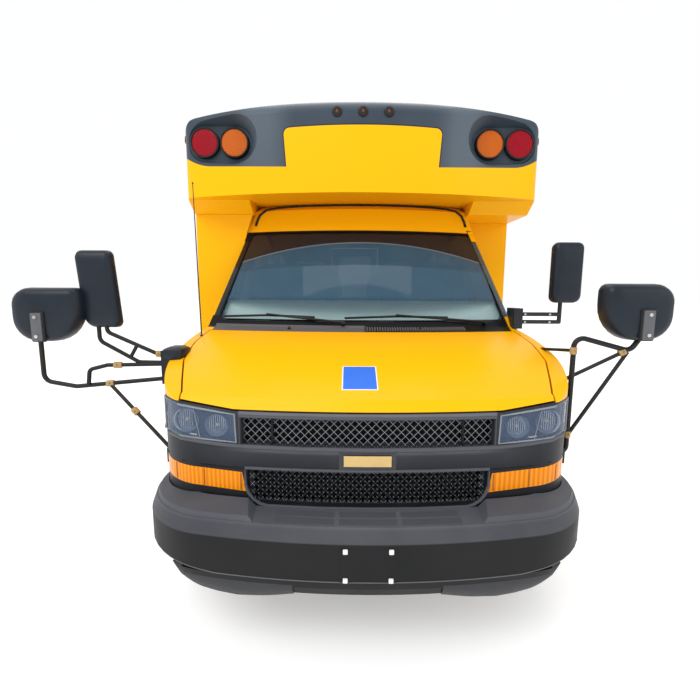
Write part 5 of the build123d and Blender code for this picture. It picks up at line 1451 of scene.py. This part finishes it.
def seats():
    """Bench pads and the driver's pads, each over its frame."""
    pads = Piece("seat_pads")
    frames = Piece("seat_frames")
    for side, station in BENCHES:
        y = at(station)
        left, right = sorted(side * edge for edge in BENCH_X)
        pad(pads, (left, y, 1.212), (right, y + 0.395, 1.325), 0.014, (0.0,))
        pad(pads, (left, y + 0.372, 1.235), (right, y + 0.47, 1.85), 0.014, (-0.34, 0.34))
        feet = (y + 0.075, y + 0.405)
        for x in inset((left, right), 0.135):
            for foot in feet:
                frames.rod((x, foot, 0.862), (x, foot, 1.225), 0.014, "black_metal", 12)
            frames.rod((x, y + 0.06, 0.9), (x, y + 0.42, 0.9), 0.011, "black_metal", 12)
            for foot in feet:
                frames.rod((x, foot, 0.861), (x, foot, 0.87), 0.034, "black_metal", bevel=0.002)
        for rail in (y + 0.05, y + 0.35):
            ends = [(x, rail, 1.21) for x in inset((left, right), 0.03)]
            frames.rod(*ends, 0.013, "black_metal", 12)
    x, y = 0.48, at(2.03)
    pad(pads, (x - 0.25, y - 0.475, 1.152), (x + 0.25, y, 1.275), 0.022, (-0.5, 0.5))
    pad(pads, (x - 0.25, y - 0.018, 1.225), (x + 0.25, y + 0.098, 1.8), 0.022, (-0.5, 0.5))
    pad(pads, (x - 0.128, y + 0.012, 1.805), (x + 0.128, y + 0.088, 1.958), 0.014)
    for post in about(x, 0.05):
        frames.rod((post, y + 0.05, 1.76), (post, y + 0.05, 1.83), 0.007, "chrome", 12)
    frames.block((x - 0.19, y - 0.42, 0.862), (x + 0.19, y - 0.04, 1.06), "black_plastic", 0.02)
    frames.block((x - 0.21, y - 0.44, 1.06), (x + 0.21, y - 0.02, 1.155), "black_plastic", 0.015)
    made = pads.done()
    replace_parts(made, "seats")
    frames.done()


def cab_fittings():
    """The inside mirror, the visors and the dashboard's air outlets."""
    piece = Piece("cab_fittings")
    dashboard = tree_of("dashboard")
    piece.block((-0.115, at(1.715), 1.875), (0.135, at(1.74), 1.95), "black_plastic", 0.01)
    piece.block((-0.108, at(1.7385), 1.882), (0.128, at(1.743), 1.943), "chrome", 0.004)
    piece.rod((0.01, at(1.72), 1.94), (0.01, at(1.645), 1.985), 0.008, "black_plastic", 12)
    turn = Matrix.Rotation(radians(-18), 4, "X")
    for low, high in ((0.22, 0.6), (-0.6, -0.22)):
        piece.block((low, at(1.74), 1.955), (high, at(1.9), 1.975), "dash_plastic", 0.008, turn)
    for x in (-0.62, -0.16, 0.14, 0.8):
        face = hit(dashboard, (x, at(2.2), 1.26), FORWARD)[0]
        if face is None:
            continue
        half = Vector((0.06, 0.006, 0.032))
        piece.block(face - half, face + half, "black_plastic", 0.006)
        for index in range(4):
            middle = face + Vector((0, 0.006, index * 0.0145 - 0.022))
            half = Vector((0.052, 0.004, 0.003))
            piece.block(middle - half, middle + half, "window_alloy", 0.001)
    piece.done()


warning_lamps()
clearance_lamps()
brow_gasket()
cowl()
headlamps()
turn_lamp_ribs()
grille_trim()
bar_pad()
hood_plaque()
bumper_fittings()
air_dams()
antenna()
mirrors()
side_windows()
rub_rails()
side_fittings()
roof_fittings()
back_fittings()
lift_sill()
entry_leaf("entry_door_front", 1)
entry_leaf("entry_door_rear", 0)
lift_door_trim()
driver_door_trim()
stop_sign()
wheels()
seats()
cab_fittings()

# Stage, light and camera


def add_light(name, place, target, size, power):
    lamp = bpy.data.lights.new(name, "AREA")
    lamp.shape = "RECTANGLE"
    lamp.size, lamp.size_y = size
    lamp.energy = power
    light = bpy.data.objects.new(name, lamp)
    light.location = place
    light.rotation_euler = (Vector(target) - Vector(place)).to_track_quat("-Z", "Y").to_euler()
    bpy.context.collection.objects.link(light)


def set_stage():
    """A wide pale floor, an even white sky and three soft lights."""
    floor = bmesh.new()
    bmesh.ops.create_grid(floor, x_segments=1, y_segments=1, size=60)
    mesh = bpy.data.meshes.new("studio_floor")
    floor.to_mesh(mesh)
    floor.free()
    mesh.materials.append(finish("pale_floor", pale_floor))
    ground = bpy.data.objects.new("studio_floor", mesh)
    bpy.context.collection.objects.link(ground)
    world = bpy.data.worlds.new("studio")
    world.use_nodes = True
    sky = world.node_tree.nodes["Background"].inputs
    sky["Color"].default_value = (0.995, 1.0, 1.0, 1)
    sky["Strength"].default_value = 1.0
    bpy.context.scene.world = world
    add_light("key", (-4.2, -8.5, 9.0), (0, -2.5, 1.4), (7, 5), 470)
    add_light("fill", (6.5, -8.0, 4.5), (0, -2.5, 1.3), (4, 4), 60)
    add_light("top", (0, 0.5, 8.5), (0, 0, 2), (5, 8), 190)


def set_camera():
    """The photographer's place: close in front, a little to the kerb side, looking slightly down."""
    data = bpy.data.cameras.new("camera")
    data.lens = 21.6
    data.sensor_width = 36
    camera = bpy.data.objects.new("camera", data)
    tilt = Matrix.Rotation(radians(90 - 8), 4, "X") @ Matrix.Rotation(radians(0.3), 4, "Z")
    camera.matrix_world = Matrix.Translation((-0.075, NOSE - 1.493, 1.554)) @ tilt
    bpy.context.collection.objects.link(camera)
    bpy.context.scene.camera = camera


bpy.context.scene.view_settings.view_transform = "Standard"
set_stage()
set_camera()
